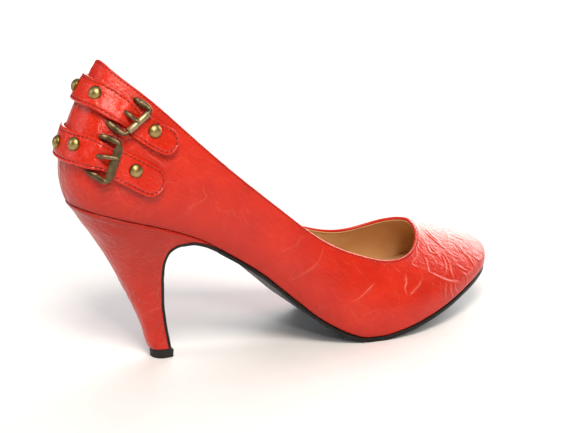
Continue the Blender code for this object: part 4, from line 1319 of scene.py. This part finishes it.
def sweep(centres, outs, widths, heights, around=20, squareness=2.0):
    """Rings of a bar through its centres: widths lie across it on the upper, heights stand off it."""
    centres = np.asarray(centres)
    ahead = unit(np.gradient(centres, axis=0))
    side = unit(np.cross(outs, ahead))
    up = np.cross(ahead, side)
    angle = np.linspace(0, 2 * math.pi, around, endpoint=False)
    c, s = np.cos(angle), np.sin(angle)
    c, s = (np.sign(v) * np.abs(v) ** (2 / squareness) for v in (c, s))
    return [
        centre + w * c[:, None] * sd + h * s[:, None] * u
        for centre, w, h, sd, u in zip(centres, widths, heights, side, up)
    ]


def smooth_path(points, *values, count=60):
    """A path through the points, and values along it, both eased by length."""
    points = np.asarray(points)
    run = np.concatenate([[0], np.cumsum(np.linalg.norm(np.diff(points, axis=0), axis=1))])
    at = np.linspace(0, run[-1], count)
    path = np.column_stack([monotone(run, points[:, i], at) for i in range(3)])
    return path, [monotone(run, v, at) for v in values]


def joined(name, parts, finish, wear_and_highlight):
    """Several capped lofts as one mesh object, made brighter by this share: wear, and painted light on the
    roller.
    """
    points, faces, base = [], [], 0
    for rings in parts:
        p, f = capped(rings)
        points.append(p)
        faces += [tuple(i + base for i in face) for face in f]
        base += len(p)
    points = np.vstack(points)
    return mesh_object(name, points, faces, finish, marks={"wear_and_highlight": np.full(len(points), wear_and_highlight)})


def build_buckle(name, band, half, end_bar, skew, tips, flat):
    """A curved buckle with two pointed arms, its end bar or roller, and the prong that lies on it."""
    hinge = end_bar - BUCKLE_REACH
    wide = half + GAP + 1.0 * MM
    low = 2 * GAP + HINGE_ROD
    high = 3.5 * GAP + STRAP_THICKNESS + ROLLER_RADIUS
    arms, corners = [], []
    for side, tip in zip((-1, 1), tips):
        bar, pin = end_bar + side * skew, hinge + side * skew
        # distance, aside, height, half width, half height
        stations = (
            (pin - tip - 0.6 * MM, wide - 0.3 * MM, low + 0.3 * MM, 0.12, 0.12),
            (pin - 0.7 * tip, wide, low + 0.5 * MM, 0.70, 0.5),
            (pin - 0.2 * tip, wide + 0.1 * MM, low + 0.7 * MM, 1.22, 0.8),
            (pin + 0.22 * BUCKLE_REACH, wide + 0.3 * MM, 0.75 * low + 0.25 * high, 1.50, 0.95),
            (pin + 0.55 * BUCKLE_REACH, wide + 0.35 * MM, 0.35 * low + 0.65 * high, 1.40, 0.95),
            (bar - 1.3 * MM, wide + 0.25 * MM, high - 0.1 * MM, 1.18, 0.95),
            (bar - 0.35 * MM, wide - 0.1 * MM, high, 1.0, 1.0),
            (bar, wide - 0.9 * MM, high, 1.0, 1.0),
        )
        d, a, h, w, t = np.array(stations).T
        points = band.over(d, side * a, h)
        path, (w, t) = smooth_path(points, w, t)
        outs = np.broadcast_to(band.place(bar - 2 * MM, side * wide)[3], path.shape)
        arms.append(sweep(path, outs, w * MM, t * MM))
        corners.append(band.over(bar, side * (wide - 0.5 * MM), high)[0])
    out = band.place(end_bar, 0.0)[3]
    ends = np.array(corners)
    if flat:
        inner = np.linspace(0.0, 1.0, 30)
        path = ends[0] + (ends[1] - ends[0]) * inner[:, None]
        broad = 1.35 + 0.55 * smooth(np.minimum(inner, 1 - inner) / 0.16)
        bar_rings = sweep(path, np.broadcast_to(out, path.shape), broad * MM, np.full(30, 1.0 * MM), 28, 2.6)
        frame_parts = arms
    else:
        inner = np.linspace(0.0, 1.0, 8)
        path = ends[0] + (ends[1] - ends[0]) * inner[:, None]
        thin = np.full(8, 0.8 * MM)
        frame_parts = arms + [sweep(path, np.broadcast_to(out, path.shape), thin, thin)]
        inner = np.array([0.0, 0.0, 0.004, 0.012, 0.30, 0.5, 0.7, 0.988, 0.996, 1.0, 1.0])
        reach = 1.35 * MM / np.linalg.norm(ends[1] - ends[0])
        along = reach + (1 - 2 * reach) * inner
        path = ends[0] + (ends[1] - ends[0]) * along[:, None]
        path += np.linspace(-1, 1, len(path))[:, None] * unit(ends[1] - ends[0]) * 1e-6
        fat = np.array([1.0, 1.35, 1.50, 1.56, 1.58, 1.58, 1.58, 1.56, 1.50, 1.35, 1.0]) * MM
        bar_rings = sweep(path, np.broadcast_to(out, path.shape), fat, fat, 28)
    frame_piece = joined(name + "_buckle_arms", frame_parts, BRONZE, 0.42)
    placed(frame_piece, "buckle", name + "_buckle_frame")
    # painted light: the roller's colour is raised well above the frame's, standing for light bounced up from
    # the floor
    bar_piece = joined(name + "_buckle_bar", [bar_rings], BRONZE, 0.42 if flat else 0.78)
    placed(bar_piece, "buckle", name + "_buckle_roller")

    rest = high + (1.0 if flat else 1.1) * MM
    top = 2.5 * GAP + STRAP_THICKNESS + 2 * HINGE_ROD
    reach = 0.6 * MM if flat else -1.1 * MM
    stations = (
        (hinge - 0.3 * MM, low + 1.0 * MM, 0.55, 0.5),
        (hinge + 0.2 * MM, top - 0.3 * MM, 0.85, 0.75),
        (hinge + 1.2 * MM, top + 0.8 * MM, 0.98, 0.85),
        (hinge + 3.0 * MM, top + 1.5 * MM, 0.98, 0.85),
        (end_bar - 2.0 * MM, rest - 0.1 * MM, 0.92, 0.8),
        (end_bar - 0.4 * MM, rest + 0.35 * MM, 0.85, 0.7),
        (end_bar + reach, rest + 0.30 * MM, 0.65, 0.55),
        (end_bar + reach + 0.35 * MM, rest + 0.1 * MM, 0.2, 0.2),
    )
    d, h, w, t = np.array(stations).T
    lean = (0.30 if flat else 0.0) * (d - hinge)
    points = band.over(d, lean, h)
    path, (w, t) = smooth_path(points, w, t, count=40)
    prong_rings = sweep(path, np.broadcast_to(out, path.shape), w * MM, t * MM)
    prong = joined(name + "_prong", [prong_rings], BRONZE, 0.5)
    placed(prong, "buckle", name + "_buckle_prong")


# A stud's section in mm from its underside over its dome: radius, height, and how rubbed it is
STUD_SECTION = (
    (0.0, -0.3, 0.2), (2.9, -0.3, 0.2), (3.08, 0.0, 0.2), (3.12, 0.25, 0.25), (3.05, 0.5, 0.35),
    (2.88, 0.82, 0.5), (2.6, 1.16, 0.62), (2.2, 1.52, 0.68), (1.7, 1.83, 0.7), (1.15, 2.05, 0.72),
    (0.6, 2.17, 0.74), (0.0, 2.2, 0.75),
)


def build_studs(name, band, hinge, studs):
    """Domed studs with a rolled rim, sunk a little into the strap."""
    around = 40
    faces = rows_to_faces(around, len(STUD_SECTION), False, True)
    wear_and_highlight = np.tile([row[2] for row in STUD_SECTION], around)
    for number, (distance, aside) in enumerate(studs, 1):
        distance, aside = distance * MM, aside * MM
        point, ahead, _, out = (v[0] for v in band.place(distance, aside))
        seat = point + out * (strap_lift(distance, hinge) + STRAP_THICKNESS + GAP)
        x = unit(ahead - out * out.dot(ahead))
        y = np.cross(out, x)
        rings = []
        for k in range(around):
            angle = 2 * math.pi * k / around
            radial = math.cos(angle) * x + math.sin(angle) * y
            rings.append([seat + radial * r * MM + out * z * MM for r, z, _ in STUD_SECTION])
        stud = mesh_object(f"{name}_stud_dome_{number}", np.vstack(rings), faces, BRASS, marks={"wear_and_highlight": wear_and_highlight})
        placed(stud, "stud", f"{name}_stud_{number}")


def stitch_rule():
    """Stitches along a path: one rounded run of thread at each pitch, turned along the path."""
    rule = bpy.data.node_groups.new("stitch row", "GeometryNodeTree")
    socket = rule.interface.new_socket
    socket(name="Path", in_out="INPUT", socket_type="NodeSocketGeometry")
    for label in ("Pitch", "Stitch length", "Thread"):
        socket(name=label, in_out="INPUT", socket_type="NodeSocketFloat")
    socket(name="Finish", in_out="INPUT", socket_type="NodeSocketMaterial")
    socket(name="Stitches", in_out="OUTPUT", socket_type="NodeSocketGeometry")
    given = rule.nodes.new("NodeGroupInput").outputs
    path = add(rule, "GeometryNodeMeshToCurve", {"Mesh": given["Path"]})
    spaced = add(
        rule, "GeometryNodeResampleCurve", {"Curve": path.outputs[0], "Length": given["Pitch"]}, mode="LENGTH"
    )
    tangent = add(rule, "GeometryNodeInputTangent").outputs[0]
    turn = add(rule, "FunctionNodeAlignRotationToVector", {"Vector": tangent}, axis="Z").outputs[0]
    bead = add(rule, "GeometryNodeMeshUVSphere", {"Segments": 8, "Rings": 6, "Radius": 0.5})
    sizes = {"X": given["Thread"], "Y": given["Thread"], "Z": given["Stitch length"]}
    size = add(rule, "ShaderNodeCombineXYZ", sizes)
    thread = add(rule, "GeometryNodeTransform", {"Geometry": bead.outputs["Mesh"], "Scale": size.outputs[0]})
    rows = add(
        rule,
        "GeometryNodeInstanceOnPoints",
        {"Points": spaced.outputs[0], "Instance": thread.outputs[0], "Rotation": turn},
    )
    real = add(rule, "GeometryNodeRealizeInstances", {"Geometry": rows.outputs[0]})
    soft = add(rule, "GeometryNodeSetShadeSmooth", {"Geometry": real.outputs[0]})
    done = add(rule, "GeometryNodeSetMaterial", {"Geometry": soft.outputs[0], "Material": given["Finish"]})
    ending = rule.nodes.new("NodeGroupOutput")
    rule.links.new(done.outputs[0], ending.inputs["Stitches"])
    return rule


def sew(name, paths, rule, finish, sewing, slot, *nodes):
    """Runs the stitch rule along closed paths and keeps the result as a plain mesh."""
    points, edges, base = [], [], 0
    for path in paths:
        points.append(path)
        edges += [(base + i, base + (i + 1) % len(path)) for i in range(len(path))]
        base += len(path)
    mesh = bpy.data.meshes.new(name + "_path")
    mesh.from_pydata([tuple(p) for p in np.vstack(points)], edges, [])
    row = bpy.data.objects.new(name, mesh)
    bpy.context.scene.collection.objects.link(row)
    step = row.modifiers.new("stitches", "NODES")
    step.node_group = rule
    pitch, length, thread = sewing
    values = {"Pitch": pitch * MM, "Stitch length": length * MM, "Thread": thread * MM, "Finish": finish}
    for item in rule.interface.items_tree:
        if item.in_out == "INPUT" and item.name in values:
            step[item.identifier] = values[item.name]
    sewn = bpy.data.meshes.new_from_object(row.evaluated_get(bpy.context.evaluated_depsgraph_get()))
    row.modifiers.clear()
    row.data = sewn
    return placed(row, slot, *nodes)


def topline_path(down, back):
    """A closed line this far down from the topline and back from the outer face, in mm."""
    s = np.linspace(0, 2, 1600, endpoint=False)
    p, _, _, n = (v[:, 0] for v in shell_at(s, t_below(s, np.full((len(s), 1), down * MM))))
    return p - n * back * MM


def build_floor():
    """A wide sheet of paper, a hair below the sole so that the two don't share a plane."""
    mesh = bpy.data.meshes.new("floor")
    half = 4.0
    corners = [(-half, -half, 0), (half, -half, 0), (half, half, 0), (-half, half, 0)]
    mesh.from_pydata(corners, [], [(0, 1, 2, 3)])
    mesh.materials.append(studio_paper())
    floor = bpy.data.objects.new("floor", mesh)
    floor.location.z = -0.00005
    bpy.context.scene.collection.objects.link(floor)


def area_light(name, place, target, size, watts, colour="#ffffff"):
    """A flat light at this place that faces the target."""
    light = bpy.data.lights.new(name, "AREA")
    light.shape = "RECTANGLE"
    light.size, light.size_y = size
    light.energy = watts
    light.color = hexed(colour)[:3]
    lamp = bpy.data.objects.new(name, light)
    lamp.location = place
    lamp.rotation_euler = (Vector(target) - Vector(place)).to_track_quat("-Z", "Y").to_euler()
    bpy.context.scene.collection.objects.link(lamp)


def build_studio():
    """A pale room with a soft box and a small lamp by the camera, and a soft box at each end of the shoe."""
    scene = bpy.context.scene
    world = bpy.data.worlds.new("pale room")
    world.use_nodes = True
    world.node_tree.nodes["Background"].inputs["Color"].default_value = hexed("#f6f6f7")
    world.node_tree.nodes["Background"].inputs["Strength"].default_value = 0.14
    scene.world = world
    middle = (0.06, 0.0, 0.06)
    area_light("box above the camera", (-0.22, -0.72, 1.10), middle, (0.50, 0.40), 16.3, "#fff0e0")
    area_light("lamp near the camera", (-0.22, -1.00, 0.66), middle, (0.11, 0.11), 2.8, "#fff4ea")
    area_light("box beyond the toe", (0.84, 0.60, 0.37), middle, (1.4, 0.62), 19.0, "#fffaf4")
    area_light("box behind the heel", (-0.95, 0.35, 0.55), middle, (0.5, 0.6), 2.6)
    sun = bpy.data.lights.new("ceiling", "SUN")
    sun.energy = 0.3
    sun.angle = math.radians(70)
    ceiling = bpy.data.objects.new("ceiling", sun)
    scene.collection.objects.link(ceiling)
    scene.view_settings.view_transform = "Standard"
    scene.view_settings.look = "None"
    scene.view_settings.exposure = 0.0


def build_camera():
    """At the photograph's place: turned to the heel's side, a little above the shoe, from 0.77 m."""
    turn, rise, roll = math.radians(-26.0), math.radians(17.5), math.radians(-1.0)
    back = Vector((math.sin(turn) * math.cos(rise), -math.cos(turn) * math.cos(rise), math.sin(rise)))
    right = Vector((math.cos(turn), math.sin(turn), 0.0))
    up = back.cross(right)
    right, up = (
        right * math.cos(roll) + up * math.sin(roll),
        up * math.cos(roll) - right * math.sin(roll),
    )
    lens = bpy.data.cameras.new("camera")
    lens.sensor_width = 36.0
    lens.lens = 102.3
    lens.shift_x = 0.0336
    lens.shift_y = 0.002
    camera = bpy.data.objects.new("camera", lens)
    place = Vector((0.058, 0.0, 0.058)) + back * 0.772
    camera.matrix_world = Matrix.Translation(place) @ Matrix((right, up, back)).transposed().to_4x4()
    bpy.context.scene.collection.objects.link(camera)
    bpy.context.scene.camera = camera


def build_shoe():
    """The shoe from its shell to its last row of stitches."""
    build_shell()
    build_lining()
    build_insole()
    build_heel()
    build_outsole()
    build_lift()
    rule = stitch_rule()
    strap_paths = []
    for name, (line, width, first, last, bar, skew, tips, studs) in STRAPS.items():
        band = Band(line)
        half, first, last, bar, skew = (size * MM for size in (width / 2, first, last, bar, skew))
        tips = [tip * MM for tip in tips]
        hinge = bar - BUCKLE_REACH
        build_strap(name, band, half, first, last, hinge)
        build_buckle(name, band, half, bar, skew, tips, name == "lower")
        build_studs(name, band, hinge, studs)
        strap_paths.append(strap_stitch_path(band, half, first, last, hinge))
    sew("strap_stitches", strap_paths, rule, RED_THREAD, STRAP_SEWING, "strap")
    sew("topline_stitches", [topline_path(TOPLINE_STITCH, 0.12)], rule, RED_THREAD, TOPLINE_SEWING, "upper")
    sew("lining_stitches", [topline_path(LINING_STITCH, 1.95)], rule, TAN_THREAD, LINING_SEWING, "insole")


build_camera()
build_studio()
build_floor()
build_shoe()
bpy.context.view_layer.update()
